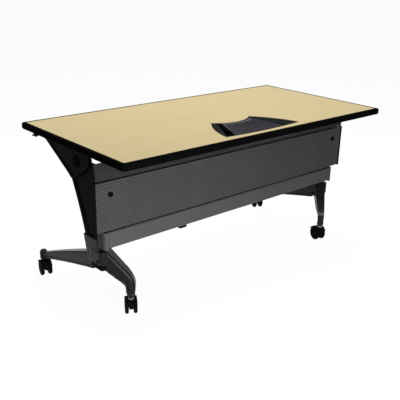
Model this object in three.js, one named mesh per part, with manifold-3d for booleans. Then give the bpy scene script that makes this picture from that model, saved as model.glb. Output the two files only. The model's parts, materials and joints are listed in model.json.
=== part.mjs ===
// A flip-top training table: a laminate top that tips up on two cast legs, with a ribbed modesty panel,
// a crossbeam, a lidded cable port and four twin-wheel casters.
// Millimetres, +Z up. +X runs along the table, +Y points to the user's side, and the origin lies on the floor
// below the middle of the top. Pieces of one side are drawn on the +X side and mirrored to the other.
import * as THREE from "three";
import { mergeVertices } from "three/addons/utils/BufferGeometryUtils.js";
import Module from "manifold-3d";

// Fits between pieces
const seam = 0.3;
const runningGap = 0.4;
const cutMargin = 1;

// Worktop and its edge band
const topLength = 1524;
const topDepth = 762;
const topThickness = 28.6;
const topHeight = 725;
const topCorner = 10;
const bandThickness = 7;
const bandRounding = 5;

// Cable port: a fan whose front edge is hollow and whose other edges swell
const portFrontHalf = 114;
const portReach = 209;
const portFrontSag = 44;
const portRearHalf = 221;
const portSetback = 56;
const portRearSag = 12;
const portSideSag = 17;
const bezelLip = 2;
const bezelProud = 0.8;
const bezelLap = 3;
const bezelSideRim = 22;
const bezelMouthRearHalf = 210;
const bezelEndRim = 8;
const bezelSkirt = 24;
const portWall = 2;
const wellDepth = 52;
const cableHoleLength = 70;
const cableHoleDepth = 46;
const cableHoleX = 62;
const cableHoleSetback = 75;
const cableHoleCorner = 12;

// Port lid, hinged along its rear edge
const lidSplay = 28.5;
const lidRearHalf = 150;
const lidThickness = 3;
const lidGap = 1.5;
const lidDrop = 11;
const lidPinRadius = 2.5;
const lidPinInset = 16;
const lidBarrelWall = 2;
const lidBarrelMargin = 6;
const lidLugThickness = 8;
const lidLugHalf = 7;
const lidRibs = 21;
const lidRibWidth = 2.6;
const lidRibHeight = 1.3;
const lidRibStart = 26;
const lidRibEnd = 7;
const lidRestX = 48;
const lidRestSize = 14;
const lidRestSetback = 20;

// Columns
const legInset = 72;
const columnThickness = 40;
const columnBottom = 262;
const columnFootFront = -113;
const columnFootRear = -43;
const columnHeelY = 67;
const columnHeelDrop = 79;
const columnBow = 9;
const columnShoulderDrop = 2;
const columnHeadRadius = 38;
const columnHeadStart = -22.5;
const columnRounding = 3;
const columnPocketDepth = 5;
const columnPocketRim = 17;

// Flip pivots
const pivotY = 16;
const pivotDrop = 64.4;
const pinRadius = 7;
const pinHeadRadius = 15;
const pinHeadHeight = 6;
const pinHeadRim = 3;
const pinCrown = 12;
const bushWall = 3.5;
const cheekGap = 2;
const bushProud = 1.4;

// Top brackets
const cheekThickness = 12;
const flangeThickness = 5;
const flangeInset = 66;
const flangeOverhang = 18;
const wingFrontY = -92;
const wingFrontDrop = 60;
const wingHeelY = 46;
const wingHeelDrop = 69;
const wingHeelRound = 14;
const wingTipGap = 11;
const wingTipDrop = 3;
const wingKneeY = 212;
const wingKneeDrop = 31;
const wingPocketDepth = 4;
const wingPocketRim = 9;
const bossRadius = 25;
const bossHeight = 5;
const innerCheekRadius = 26;

// Flip locks and their release
const lockBack = 22;
const lockReach = 46;
const lockHeight = 48;
const lockRounding = 4;
const lockCorner = 9;
const rodBoreDepth = 28;
const rodEngagement = 20;
const paddleOutset = 36;
const paddleLength = 84;
const paddleSetback = 62;
const paddleDrop = 20;
const paddleReach = 36;
const paddleBarrel = 6;
const paddleThickness = 4.5;
const paddleLip = 11;
const trunnionRadius = 3;
const earThickness = 5;
const earHalf = 8;
const hornReach = 12;
const hornThickness = 6;
const hornHalf = 5.5;
const rodRadius = 2.5;
const rodPlay = 0.7;

// Modesty panel, its upper rail and the crossbeam
const panelInset = 2.5;
const panelFrontY = -173;
const panelTopDrop = 101;
const panelSheet = 3;
const panelRibs = 22;
const panelRibDepth = 3;
const ribFoot = 0.15;
const ribCrest = 0.3;
const panelFlange = 15;
const panelEndWidth = 14;
const panelEndRounding = 5;
const panelEndBevel = 2;
const panelEndTongue = 20;
const railGroove = 5;
const railHeight = 65;
const railLean = 24;
const railSheet = 4;
const railSwell = 0.6;
const railInset = 2.5;
const knobInset = 9;
const knobDrop = 55;
const knobRadius = 8;
const knobHeight = 6;
const knobRim = 3.6;
const knobCrown = 6.4;
const knobDimple = 3.2;
const knobDimpleDepth = 1.8;
const knobScrewRadius = 3;
const knobScrewLength = 30;
const beamBottom = 309.4;
const beamFrontY = -170;
const beamGap = 6;
const beamHeight = 71;
const beamWall = 3.5;
const beamCorner = 8;
const beamInset = 17;
const beamCapOutset = 21;
const beamCapDrop = 5;
const beamCapRadius = 26;
const beamCapRounding = 3;
const beamCapTongue = 22;
const clipX = -297;
const clipLength = 34;
const clipDepth = 26;
const clipDrop = 17;
const clipThickness = 3;
const clipCorner = 5.5;
const clipThroatCorner = 1;

// Feet
const footWidth = 47;
const hubOutset = 8;
const hubNoseY = -148;
const hubRearY = -36;
const hubBottom = 222;
const hubCapGap = 16;
const hubRound = 18;
const hubRounding = 4;
const socketWall = 3.5;
const socketTop = 334;
const longArmStartY = -80;
const longArmHubWidth = 46;
const longArmEndWidth = 28;
const longArmHubTop = 274;
const longArmHubBottom = 196;
const longArmEndTop = 108;
const longArmEndBottom = 79;
const longArmBow = 5;
const shortArmStartY = -128;
const shortArmStartZ = 250;
const shortArmEndSize = 34;
const shortArmSwell = 16;
const shortArmKneeZ = 166;
const shortArmStraight = 0.8;
const casterBossRadius = 18;
const casterBossHeight = 32;
const casterBossDome = 12;
const plugRadius = 13;
const plugDepth = 9;
const plugDrop = 11;
const plugY = -130;
const plugLip = 3;
const plugRim = 5.5;
const plugCrown = 11;

// Casters
const userStemOutset = 17;
const userStemSetback = 19;
const panelStemInset = 78;
const panelStemSetback = 181;
const wheelRadius = 35;
const wheelThickness = 14;
const wheelShoulder = 4;
const wheelDish = 2;
const wheelRimWidth = 8;
const wheelSpacing = 36;
const casterTrail = 15;
const axleRadius = 3.5;
const axleRecess = 1.5;
const stemRadius = 5.5;
const stemInHood = 22;
const stemInFoot = 26;
const collarRadius = 12;
const collarHeight = 2;
const hoodGap = 1.5;
const hoodThickness = 3;
const hoodSpan = 130;
const hoodKeel = 13;
const webGap = 1.5;

// Places worked out from the driving dimensions
const underside = topHeight - topThickness;
const pivotZ = underside - pivotDrop;
const legCentre = topLength / 2 - legInset;
const [userEdgeY, panelEdgeY] = [topDepth / 2, -topDepth / 2];
const portRearY = panelEdgeY + portSetback;
const portFrontY = portRearY + portReach;
const cableHoleY = portRearY + cableHoleSetback;
const lipTop = topHeight + bezelProud;
const lipBottom = lipTop - bezelLip;
const wellOuter = bezelLap + 2 * seam + portWall;
const wellInner = wellOuter + portWall;
const wellBottom = topHeight - wellDepth;
const lidBarrel = lidPinRadius + runningGap + lidBarrelWall;
const lidPinY = portRearY + lidPinInset;
const lidPinZ = lipTop - lidDrop - lidBarrel;
const beamTop = beamBottom + beamHeight;
const beamHalf = legCentre - beamInset;
const beamCapOuter = legCentre + beamCapOutset;
const panelTop = underside - panelTopDrop;
const panelBottom = beamTop + beamGap;
const panelHeight = panelTop - panelBottom;
const panelHalf = topLength / 2 - panelInset;
const panelBackY = panelFrontY + panelFlange;
const railHalf = panelHalf - railInset;
const knobX = legCentre - knobInset;
const beamCapBottom = beamBottom - beamCapDrop;
const beamCapTop = beamTop - seam;
const columnInnerX = legCentre - columnThickness / 2;
const columnOuterX = legCentre + columnThickness / 2;
const columnFrontY = panelBackY + seam;
const columnBeamY = columnFootFront - socketWall;
const beamBackY = columnBeamY - seam;
const flangeTop = underside - seam;
const flangeBottom = flangeTop - flangeThickness;
const outerCheekX = columnOuterX + cheekGap;
const outerFaceX = outerCheekX + cheekThickness;
const innerCheekX = columnInnerX - cheekGap;
const innerFaceX = innerCheekX - cheekThickness;
const flangeInnerX = legCentre - flangeInset;
const paddleY = userEdgeY - paddleSetback;
const wingTipY = paddleY - earHalf - wingTipGap;
const paddleOuterX = legCentre + paddleOutset;
const paddleInnerX = paddleOuterX - paddleLength;
const paddleZ = flangeTop - paddleDrop;
const earInnerX = paddleInnerX - seam - earThickness;
const rodX = earInnerX - 2 * runningGap - rodRadius;
const rodZ = paddleZ - hornReach;
const lockFrontY = pivotY + lockReach;
const hubX = legCentre + hubOutset;
const hubTop = beamCapBottom - hubCapGap;
const userStemX = legCentre + userStemOutset;
const userStemY = userEdgeY - userStemSetback;
const panelStemX = legCentre - panelStemInset;
const panelStemY = panelEdgeY + panelStemSetback;
const hoodOuter = wheelRadius + hoodGap + hoodThickness;
const hoodTop = wheelRadius + hoodOuter;
const casterBossBottom = hoodTop + collarHeight + 2 * seam;
const webThickness = wheelSpacing - wheelThickness - 2 * webGap;
const casterWidth = wheelSpacing + wheelThickness;

// Finishes
function finish(color, roughness, metalness) {
  return new THREE.MeshStandardMaterial({ color, roughness, metalness });
}
const laminate = finish("#d9c58f", 0.45, 0);
const blackEdge = finish("#101010", 0.5, 0);
const blackPlastic = finish("#17181a", 0.55, 0);
const portPlastic = finish("#3a3b42", 0.5, 0);
const blackPaint = finish("#161615", 0.5, 0.3);
const castPaint = finish("#3b3a36", 0.42, 0.5);
const greyPaint = finish("#4a4c4d", 0.45, 0.5);
const steel = finish("#a9abad", 0.3, 0.9);
const tread = finish("#0d0d0d", 0.7, 0);

const wasm = await Module();
wasm.setup();

// A closed geometry as a solid that can be joined and cut
function solid(piece) {
  if (!piece.isBufferGeometry) return piece;
  const bare = piece.clone();
  bare.deleteAttribute("normal");
  bare.deleteAttribute("uv");
  const merged = mergeVertices(bare, 1e-4);
  const vertProperties = merged.attributes.position.array;
  const triVerts = new Uint32Array(merged.index.array);
  return new wasm.Manifold(new wasm.Mesh({ numProp: 3, vertProperties, triVerts }));
}

// The pieces of the first list joined, with those of the second list cut out of them
function carve(joined, cut = []) {
  const whole = joined.map(solid).reduce((sum, next) => sum.add(next));
  return cut.map(solid).reduce((rest, next) => rest.subtract(next), whole);
}

// The surface of a joined or cut solid
function surface(body) {
  const { vertProperties, triVerts } = body.getMesh();
  const geometry = new THREE.BufferGeometry();
  geometry.setAttribute("position", new THREE.BufferAttribute(vertProperties, 3));
  geometry.setIndex(new THREE.BufferAttribute(triVerts, 1));
  geometry.computeVertexNormals();
  return geometry;
}

// A plan outline raised from one height to another, with its edges rounded by bevel
function raise(outline, bottom, top, bevel = 0, segments = 4) {
  const geometry = new THREE.ExtrudeGeometry(outline, {
    depth: top - bottom - 2 * bevel,
    curveSegments: segments,
    bevelEnabled: bevel > 0,
    bevelThickness: bevel,
    bevelSize: bevel,
    bevelOffset: -bevel,
    bevelSegments: 1,
  });
  return geometry.translate(0, 0, bottom + bevel);
}

const xAxis = new THREE.Vector3(1, 0, 0);
const yAxis = new THREE.Vector3(0, 1, 0);
const zAxis = new THREE.Vector3(0, 0, 1);
const lengthwise = new THREE.Matrix4().makeBasis(yAxis, zAxis, xAxis);

// A side outline drawn in Y and Z, stretched along X
function stretch(outline, fromX, toX, bevel = 0, segments = 4) {
  return raise(outline, fromX, toX, bevel, segments).applyMatrix4(lengthwise);
}

// A round bar along X, Y or Z through a point, from one coordinate to another
function bar(axis, radius, from, to, [x, y, z], sides = 14) {
  const geometry = new THREE.CylinderGeometry(radius, radius, to - from, sides);
  const middle = (from + to) / 2;
  if (axis === "x") return geometry.rotateZ(-Math.PI / 2).translate(middle, y, z);
  if (axis === "y") return geometry.translate(x, middle, z);
  return geometry.rotateX(Math.PI / 2).translate(x, y, middle);
}

// A bar to cut with: its flats stand at the radius, so that a bar of as many sides or more fits inside it
function drill(axis, radius, from, to, place, sides = 14) {
  return bar(axis, radius / Math.cos(Math.PI / sides), from - cutMargin, to + cutMargin, place, sides);
}

// A turned piece about the Z axis, from a list of radii and heights
function turned(profile, sides = 16) {
  const points = profile.map(([radius, height]) => new THREE.Vector2(radius, height));
  return new THREE.LatheGeometry(points, sides).rotateX(Math.PI / 2);
}

function block(fromX, toX, fromY, toY, fromZ, toZ) {
  const geometry = new THREE.BoxGeometry(toX - fromX, toY - fromY, toZ - fromZ);
  return geometry.translate((fromX + toX) / 2, (fromY + toY) / 2, (fromZ + toZ) / 2);
}

function roundedRectangle(left, right, bottom, top, radius) {
  const shape = new THREE.Shape();
  const quarter = Math.PI / 2;
  shape.absarc(right - radius, bottom + radius, radius, -quarter, 0);
  shape.absarc(right - radius, top - radius, radius, 0, quarter);
  shape.absarc(left + radius, top - radius, radius, quarter, 2 * quarter);
  shape.absarc(left + radius, bottom + radius, radius, 2 * quarter, 3 * quarter);
  return shape;
}

// An outline moved inwards by a distance, or outwards by a negative one, corner by corner
function inset(outline, distance, segments = 4) {
  const points = outline.getPoints(segments);
  const ring = points.filter((point, i) => point.distanceTo(points[(i + 1) % points.length]) > 1e-3);
  const turn = THREE.ShapeUtils.isClockWise(ring) ? -1 : 1;
  const moved = ring.map((point, i) => {
    const before = point.clone().sub(ring.at(i - 1)).normalize();
    const after = ring[(i + 1) % ring.length].clone().sub(point).normalize();
    const normal = new THREE.Vector2(-before.y - after.y, before.x + after.x).normalize();
    const lean = normal.y * after.x - normal.x * after.y;
    return point.clone().addScaledVector(normal, (turn * distance) / lean);
  });
  return new THREE.Shape(moved);
}

// A skin over a row of closed rings with the same number of points, closed at both ends
function loft(rings) {
  const count = rings[0].length;
  const middles = [rings[0], rings.at(-1)].map((ring) => {
    const sum = ring.reduce((total, point) => total.add(point), new THREE.Vector3());
    return sum.divideScalar(count);
  });
  const points = [...rings.flat(), ...middles];
  const last = (rings.length - 1) * count;
  const faces = [];
  for (let i = 0; i < count; i += 1) {
    const next = (i + 1) % count;
    faces.push(points.length - 2, next, i);
    faces.push(points.length - 1, last + i, last + next);
    for (let row = 0; row < last; row += count) {
      faces.push(row + i, row + next, row + count + next);
      faces.push(row + i, row + count + next, row + count + i);
    }
  }
  return new THREE.BufferGeometry().setFromPoints(points).setIndex(faces);
}

// A closed ring round a middle, from an ellipse towards a rounded box as squareness grows from 2
function ring(middle, across, halfAcross, up, halfUp, squareness) {
  const count = 12;
  return Array.from({ length: count }, (_, i) => {
    const angle = (2 * Math.PI * i) / count;
    const [c, s] = [Math.cos(angle), Math.sin(angle)];
    const swell = (Math.abs(c) ** squareness + Math.abs(s) ** squareness) ** (-1 / squareness);
    const point = middle.clone().addScaledVector(across, halfAcross * swell * c);
    return point.addScaledVector(up, halfUp * swell * s);
  });
}

// The circle through a and b whose arc stands off the chord by sag, to the left of the way from a to b
function circleThrough(a, b, sag) {
  const chord = b.clone().sub(a);
  const half = chord.length() / 2;
  const radius = (half * half + sag * sag) / (2 * Math.abs(sag));
  const left = new THREE.Vector2(-chord.y, chord.x).normalize();
  const middle = a.clone().add(b).multiplyScalar(0.5);
  return { centre: middle.addScaledVector(left, sag - Math.sign(sag) * radius), radius };
}

// Where two circles cross, at the crossing nearer to a guess
function crossing(first, second, guess) {
  const apart = second.centre.clone().sub(first.centre);
  const reach = apart.length();
  const along = (reach * reach + first.radius ** 2 - second.radius ** 2) / (2 * reach);
  const off = Math.sqrt(first.radius ** 2 - along * along);
  const way = apart.normalize();
  const foot = first.centre.clone().addScaledVector(way, along);
  const across = new THREE.Vector2(-way.y, way.x);
  const choices = [off, -off].map((length) => foot.clone().addScaledVector(across, length));
  return choices.sort((p, q) => p.distanceTo(guess) - q.distanceTo(guess))[0];
}

// How far a ray from a point inside a circle runs before it leaves the circle
function rayLength(circle, from, way) {
  const offset = from.clone().sub(circle.centre);
  const along = offset.dot(way);
  return -along + Math.sqrt(along * along - offset.lengthSq() + circle.radius ** 2);
}

const frontTip = new THREE.Vector2(portFrontHalf, portFrontY);
const rearTip = new THREE.Vector2(portRearHalf, portRearY);
const mirrored = (point) => new THREE.Vector2(-point.x, point.y);
const frontCircle = circleThrough(mirrored(frontTip), frontTip, -portFrontSag);
const rearCircle = circleThrough(mirrored(rearTip), rearTip, -portRearSag);
const sideCircle = circleThrough(frontTip, rearTip, portSideSag);

function drawArc(shape, circle, from, to, clockwise) {
  const [start, end] = [from, to].map((point) => point.clone().sub(circle.centre).angle());
  shape.absarc(circle.centre.x, circle.centre.y, circle.radius, start, end, clockwise);
}

// The port's fan outline, drawn in at its sides and at its front and rear edges
function fan(sideInset, endInset) {
  const front = { centre: frontCircle.centre, radius: frontCircle.radius + endInset };
  const rear = { centre: rearCircle.centre, radius: rearCircle.radius - endInset };
  const right = { centre: sideCircle.centre, radius: sideCircle.radius - sideInset };
  const left = { centre: mirrored(right.centre), radius: right.radius };
  const frontRight = crossing(front, right, frontTip);
  const rearRight = crossing(rear, right, rearTip);
  const shape = new THREE.Shape();
  drawArc(shape, rear, mirrored(rearRight), rearRight, false);
  drawArc(shape, right, rearRight, frontRight, false);
  drawArc(shape, front, frontRight, mirrored(frontRight), true);
  drawArc(shape, left, mirrored(frontRight), mirrored(rearRight), false);
  return shape;
}

// Where a rear edge's circle lies at a distance from the middle
function onArc(circle, x) {
  return new THREE.Vector2(x, circle.centre.y - Math.sqrt(circle.radius ** 2 - x * x));
}

// A fan with straight sides between a hollow front edge and a swollen rear edge
function straightSided(front, frontCorner, rear, rearHalf) {
  const rearCorner = onArc(rear, rearHalf);
  const shape = new THREE.Shape();
  drawArc(shape, rear, mirrored(rearCorner), rearCorner, false);
  drawArc(shape, front, frontCorner, mirrored(frontCorner), true);
  return shape;
}

// The board, with a cut-out for the cable port and a rebate round it that takes the port's lip
function worktop() {
  const edge = bandThickness + seam;
  const [halfLength, halfDepth] = [topLength / 2 - edge, topDepth / 2 - edge];
  const board = roundedRectangle(-halfLength, halfLength, -halfDepth, halfDepth, topCorner - edge);
  board.holes.push(fan(bezelLap, bezelLap));
  const rebate = raise(fan(-seam, -seam), lipBottom - seam, topHeight + cutMargin);
  return carve([raise(board, underside, topHeight)], [rebate]);
}

// The moulding round the board, rounded on its outer edges
function edgeBand() {
  const [halfLength, halfDepth] = [topLength / 2, topDepth / 2];
  const outline = roundedRectangle(-halfLength, halfLength, -halfDepth, halfDepth, topCorner);
  const seat = raise(inset(outline, bandThickness), underside - cutMargin, topHeight + cutMargin);
  return carve([raise(outline, underside, topHeight, bandRounding)], [seat]);
}

// The frame that lines the cut-out: a lip let into the laminate with wide side rims, and a skirt below it
function portBezel() {
  const lip = fan(0, 0);
  const mouthSide = { centre: sideCircle.centre, radius: sideCircle.radius - bezelSideRim };
  const front = { centre: frontCircle.centre, radius: frontCircle.radius + bezelEndRim };
  const rear = { centre: rearCircle.centre, radius: rearCircle.radius - bezelEndRim };
  lip.holes.push(straightSided(front, crossing(front, mouthSide, frontTip), rear, bezelMouthRearHalf));
  const skirt = fan(bezelLap + seam, bezelLap + seam);
  skirt.holes.push(fan(wellOuter - seam, wellOuter - seam));
  return carve([raise(lip, lipBottom, lipTop), raise(skirt, lipBottom - bezelSkirt, lipBottom + bezelLip / 2)]);
}

// The lid's edges lie on circles about the centres of the port's own front and rear edges
const lidFront = { centre: frontCircle.centre, radius: frontCircle.radius + bezelEndRim + lidGap };
const lidRear = { centre: rearCircle.centre, radius: rearCircle.radius - bezelEndRim - lidGap };
const splay = THREE.MathUtils.degToRad(lidSplay);
const rayAt = (angle) => new THREE.Vector2(Math.sin(angle), -Math.cos(angle));
const onRay = (angle, length) => lidFront.centre.clone().addScaledVector(rayAt(angle), length);
const rearReach = (angle) => rayLength(lidRear, lidFront.centre, rayAt(angle));
const lidFrontCorner = onRay(splay, lidFront.radius);
const lidRearCorner = onArc(lidRear, lidRearHalf);
const ribSplay = Math.atan2(lidRearCorner.x, lidFront.centre.y - lidRearCorner.y);
const lidFrontY = onRay(0, lidFront.radius).y;
const lidTilt = Math.atan2(lidDrop, lidFrontY - lidPinY);
const lugInnerX = lidRearCorner.x + lidGap;
const lugOuterX = lugInnerX + lidLugThickness;

// The pan under the lid: two cable holes in its floor, two rests for the lid and two lugs for its pin
function portWell() {
  const panTop = lipBottom - seam;
  const pan = raise(fan(wellOuter, wellOuter), wellBottom, panTop);
  const hollow = raise(fan(wellInner, wellInner), wellBottom + portWall, panTop + cutMargin);
  const restY = lidFrontY - lidRestSetback;
  const lidRise = (restY - lidRestSize - lidPinY) * Math.tan(lidTilt);
  const restTop = lidPinZ + lidBarrel - lidThickness + lidRise - seam;
  const lugTop = lidPinZ + lidBarrel;
  const joined = [carve([pan], [hollow])];
  const cut = [drill("x", lidPinRadius + seam, -lugOuterX, lugOuterX, [0, lidPinY, lidPinZ], 12)];
  for (const sign of [-1, 1]) {
    const [lugFrom, lugTo] = [sign * lugInnerX, sign * lugOuterX].sort((a, b) => a - b);
    joined.push(block(lugFrom, lugTo, lidPinY - lidLugHalf, lidPinY + lidLugHalf, wellBottom + seam, lugTop));
    const restX = sign * lidRestX;
    const half = lidRestSize / 2;
    joined.push(block(restX - half, restX + half, restY - half, restY + half, wellBottom + seam, restTop));
    const [left, right] = [sign * cableHoleX - cableHoleLength / 2, sign * cableHoleX + cableHoleLength / 2];
    const [rear, front] = [cableHoleY - cableHoleDepth / 2, cableHoleY + cableHoleDepth / 2];
    const hole = roundedRectangle(left, right, rear, front, cableHoleCorner);
    cut.push(raise(hole, wellBottom - portWall, wellBottom + 2 * portWall, 0, 2));
  }
  return carve(joined, cut);
}

function lidPin() {
  return bar("x", lidPinRadius, -lugOuterX, lugOuterX, [0, lidPinY, lidPinZ], 12);
}

// The lid lies flat about its pin here, and its group tilts it. Its ribs spread along the rays.
function portLid() {
  const outline = straightSided(lidFront, lidFrontCorner, lidRear, lidRearHalf);
  const joined = [raise(outline, lidBarrel - lidThickness, lidBarrel).translate(0, -lidPinY, 0)];
  const barrelHalf = lidRearCorner.x - lidBarrelMargin;
  joined.push(bar("x", lidBarrel, -barrelHalf, barrelHalf, [0, 0, 0], 12));
  for (let i = 0; i < lidRibs; i += 1) {
    const angle = ribSplay * ((2 * i + 1) / lidRibs - 1);
    const [from, to] = [lidFront.radius + lidRibStart, rearReach(angle) - lidRibEnd];
    const half = lidRibWidth / 2;
    const rib = block(-half, half, -to, -from, lidBarrel - seam, lidBarrel + lidRibHeight);
    joined.push(rib.rotateZ(angle).translate(0, lidFront.centre.y - lidPinY, 0));
  }
  const bore = drill("x", lidPinRadius + runningGap, -lugInnerX, lugInnerX, [0, 0, 0], 12);
  return carve(joined, [bore]);
}

// The column's side outline: a foot that stands in the socket, a bowed rear edge that leans out to the heel,
// a round head at the pivot and an upright front edge behind the panel
function columnOutline() {
  const heelZ = pivotZ - columnHeelDrop;
  const shoulder = pivotZ - columnShoulderDrop;
  const bowY = (columnFootRear + columnHeelY) / 2 - 2 * columnBow;
  const outline = new THREE.Shape();
  outline.moveTo(columnFootFront, columnBottom);
  outline.lineTo(columnFootRear, columnBottom);
  outline.quadraticCurveTo(bowY, (columnBottom + heelZ) / 2, columnHeelY, heelZ);
  outline.absarc(pivotY, pivotZ, columnHeadRadius, THREE.MathUtils.degToRad(columnHeadStart), Math.PI);
  outline.lineTo(columnFrontY, shoulder);
  outline.lineTo(columnFrontY, panelBottom);
  outline.lineTo(columnBeamY, beamTop);
  outline.lineTo(columnBeamY, socketTop + seam);
  outline.lineTo(columnFootFront, socketTop + seam);
  return outline;
}

function column() {
  const outline = columnOutline();
  const pocket = inset(outline, columnPocketRim);
  const pivot = [0, pivotY, pivotZ];
  const pocketFloor = columnOuterX - columnPocketDepth;
  const boss = bar("x", columnHeadRadius - columnRounding, columnInnerX + seam, columnOuterX, pivot, 24);
  const base = stretch(outline, columnInnerX, columnOuterX, columnRounding);
  const sunk = carve([base], [stretch(pocket, pocketFloor, columnOuterX + seam)]);
  const bushBore = drill("x", pinRadius + runningGap + bushWall + seam, columnInnerX, columnOuterX, pivot, 16);
  const screwPlace = [knobX, 0, panelTop - knobDrop];
  const screwEnd = columnFrontY + knobScrewLength;
  const screwBore = drill("y", knobScrewRadius + seam, columnFrontY, screwEnd, screwPlace, 12);
  return carve([sunk, boss], [bushBore, screwBore]);
}

function pivotBush() {
  const [inner, outer] = [pinRadius + runningGap, pinRadius + runningGap + bushWall];
  const half = columnThickness / 2 + bushProud;
  const profile = [[inner, -half], [outer, -half], [outer, half], [inner, half], [inner, -half]];
  return turned(profile).rotateY(Math.PI / 2).translate(legCentre, pivotY, pivotZ);
}

function pivotPin() {
  const start = innerFaceX + seam;
  const seat = outerFaceX + bossHeight + seam;
  const profile = [
    [0, start],
    [pinRadius, start],
    [pinRadius, seat],
    [pinHeadRadius, seat],
    [pinHeadRadius, seat + pinHeadRim],
    [pinCrown, seat + pinHeadHeight],
    [0, seat + pinHeadHeight],
  ];
  return turned(profile).rotateY(Math.PI / 2).translate(0, pivotY, pivotZ);
}

// The wing of a top bracket, seen from its end: up to its knee, or on to the tip under the user's edge
function wingOutline(toTip) {
  const heelZ = pivotZ - wingHeelDrop;
  const [kneeZ, tipZ] = [flangeBottom - wingKneeDrop, flangeBottom - wingTipDrop];
  const outline = new THREE.Shape();
  outline.moveTo(wingFrontY, flangeTop);
  outline.lineTo(wingFrontY, flangeTop - wingFrontDrop);
  outline.lineTo(wingHeelY - 2 * wingHeelRound, heelZ);
  const heelEnd = wingHeelY + wingHeelRound;
  outline.quadraticCurveTo(wingHeelY, heelZ - wingHeelRound, heelEnd, heelZ + wingHeelRound / 2);
  outline.lineTo(wingKneeY, kneeZ);
  if (toTip) outline.quadraticCurveTo((wingKneeY + wingTipY) / 2, tipZ, wingTipY, tipZ);
  outline.lineTo(toTip ? wingTipY : wingKneeY, flangeTop);
  return outline;
}

// A cast bracket under the top: a broad flange, an outer wing with a sunk face, and a rounded inner cheek
function topBracket() {
  const pivot = [0, pivotY, pivotZ];
  const tab = new THREE.Shape();
  tab.moveTo(pivotY - innerCheekRadius, flangeTop - seam);
  tab.absarc(pivotY, pivotZ, innerCheekRadius, -Math.PI, 0);
  tab.lineTo(pivotY + innerCheekRadius, flangeTop - seam);
  const sunkWing = carve(
    [stretch(wingOutline(true), outerCheekX, outerFaceX)],
    [stretch(inset(wingOutline(false), wingPocketRim), outerFaceX - wingPocketDepth, outerFaceX + seam)],
  );
  const joined = [
    sunkWing,
    stretch(tab, innerFaceX, innerCheekX),
    block(flangeInnerX, outerFaceX + flangeOverhang, wingFrontY, wingTipY, flangeBottom, flangeTop),
    bar("x", bossRadius, outerCheekX + seam, outerFaceX + bossHeight, pivot, 24),
  ];
  return carve(joined, [drill("x", pinRadius + runningGap, innerFaceX, outerFaceX + bossHeight, pivot, 16)]);
}

// The closed box that holds the flip lock, on the inner cheek
function lockHousing() {
  const [bottom, top] = [flangeBottom - lockHeight, flangeBottom - seam];
  const side = roundedRectangle(pivotY - lockBack, lockFrontY, bottom, top, lockCorner);
  const bore = drill("y", rodRadius + runningGap, lockFrontY - rodBoreDepth, lockFrontY, [rodX, 0, rodZ], 12);
  return carve([stretch(side, flangeInnerX, innerFaceX - seam, lockRounding, 2)], [bore]);
}

// The block under the user's edge that carries the paddle between two ears
function paddleBlock() {
  const earOuterX = paddleOuterX + seam + earThickness;
  const [rear, front] = [paddleY - earHalf, paddleY + earHalf];
  const earBottom = paddleZ - paddleBarrel;
  const joined = [block(earInnerX, earOuterX, rear, front, flangeBottom, flangeTop)];
  for (const from of [earInnerX, earOuterX - earThickness]) {
    joined.push(block(from, from + earThickness, rear, front, earBottom, flangeTop - seam));
  }
  const bore = drill("x", trunnionRadius + runningGap, earInnerX, earOuterX, [0, paddleY, paddleZ], 12);
  return carve(joined, [bore]);
}

// The paddle: a barrel on two trunnions, a curved blade to squeeze and a horn that pulls the rod
function releasePaddle() {
  const axle = [0, paddleY, paddleZ];
  const half = paddleThickness / 2;
  const endY = paddleY + paddleReach;
  const blade = new THREE.Shape();
  blade.moveTo(paddleY, paddleZ + half);
  blade.quadraticCurveTo(endY, paddleZ + half, endY, paddleZ - paddleLip);
  blade.lineTo(endY - paddleThickness, paddleZ - paddleLip);
  blade.quadraticCurveTo(endY - paddleThickness, paddleZ - half, paddleY, paddleZ - half);
  const hornEnd = rodZ - hornHalf;
  const joined = [
    stretch(blade, paddleInnerX, paddleOuterX),
    bar("x", paddleBarrel - seam, paddleInnerX, paddleOuterX, axle, 12),
    bar("x", trunnionRadius, earInnerX, paddleOuterX + seam + earThickness, axle, 12),
    block(paddleInnerX, paddleInnerX + hornThickness, paddleY - hornHalf, paddleY + hornHalf, hornEnd, paddleZ),
  ];
  const eyePlace = [0, paddleY, rodZ];
  const eye = drill("x", rodRadius + rodPlay, paddleInnerX, paddleInnerX + hornThickness, eyePlace, 12);
  return carve(joined, [eye]);
}

// The steel rod from the lock to the paddle's horn, hooked into the horn
function releaseRod() {
  const start = lockFrontY - rodEngagement;
  const hookEnd = paddleInnerX + hornThickness - seam;
  return carve([
    bar("y", rodRadius, start, paddleY + rodRadius, [rodX, 0, rodZ], 12),
    bar("x", rodRadius, rodX, hookEnd, [0, paddleY, rodZ], 12),
  ]);
}

// The ribbed channel of the modesty panel, open to the rear
function modestyPanel() {
  const valley = panelFrontY + panelRibDepth;
  const inner = valley + panelSheet;
  const pitch = panelHeight / panelRibs;
  const profile = new THREE.Shape();
  profile.moveTo(panelBackY, panelBottom);
  profile.lineTo(valley, panelBottom);
  for (let i = 0; i < panelRibs; i += 1) {
    const z = panelBottom + i * pitch;
    profile.lineTo(valley, z + ribFoot * pitch);
    profile.lineTo(panelFrontY, z + ribCrest * pitch);
    profile.lineTo(panelFrontY, z + (1 - ribCrest) * pitch);
    profile.lineTo(valley, z + (1 - ribFoot) * pitch);
  }
  profile.lineTo(valley, panelTop);
  profile.lineTo(panelBackY, panelTop);
  profile.lineTo(panelBackY, panelTop - panelSheet);
  profile.lineTo(inner, panelTop - panelSheet);
  profile.lineTo(inner, panelBottom + panelSheet);
  profile.lineTo(panelBackY, panelBottom + panelSheet);
  const half = panelHalf - panelEndWidth - seam;
  const holes = [-knobX, knobX].map((x) => {
    const place = [x, 0, panelTop - knobDrop];
    return drill("y", knobScrewRadius + seam, panelFrontY, panelBackY, place, 12);
  });
  return carve([stretch(profile, -half, half)], holes);
}

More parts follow.
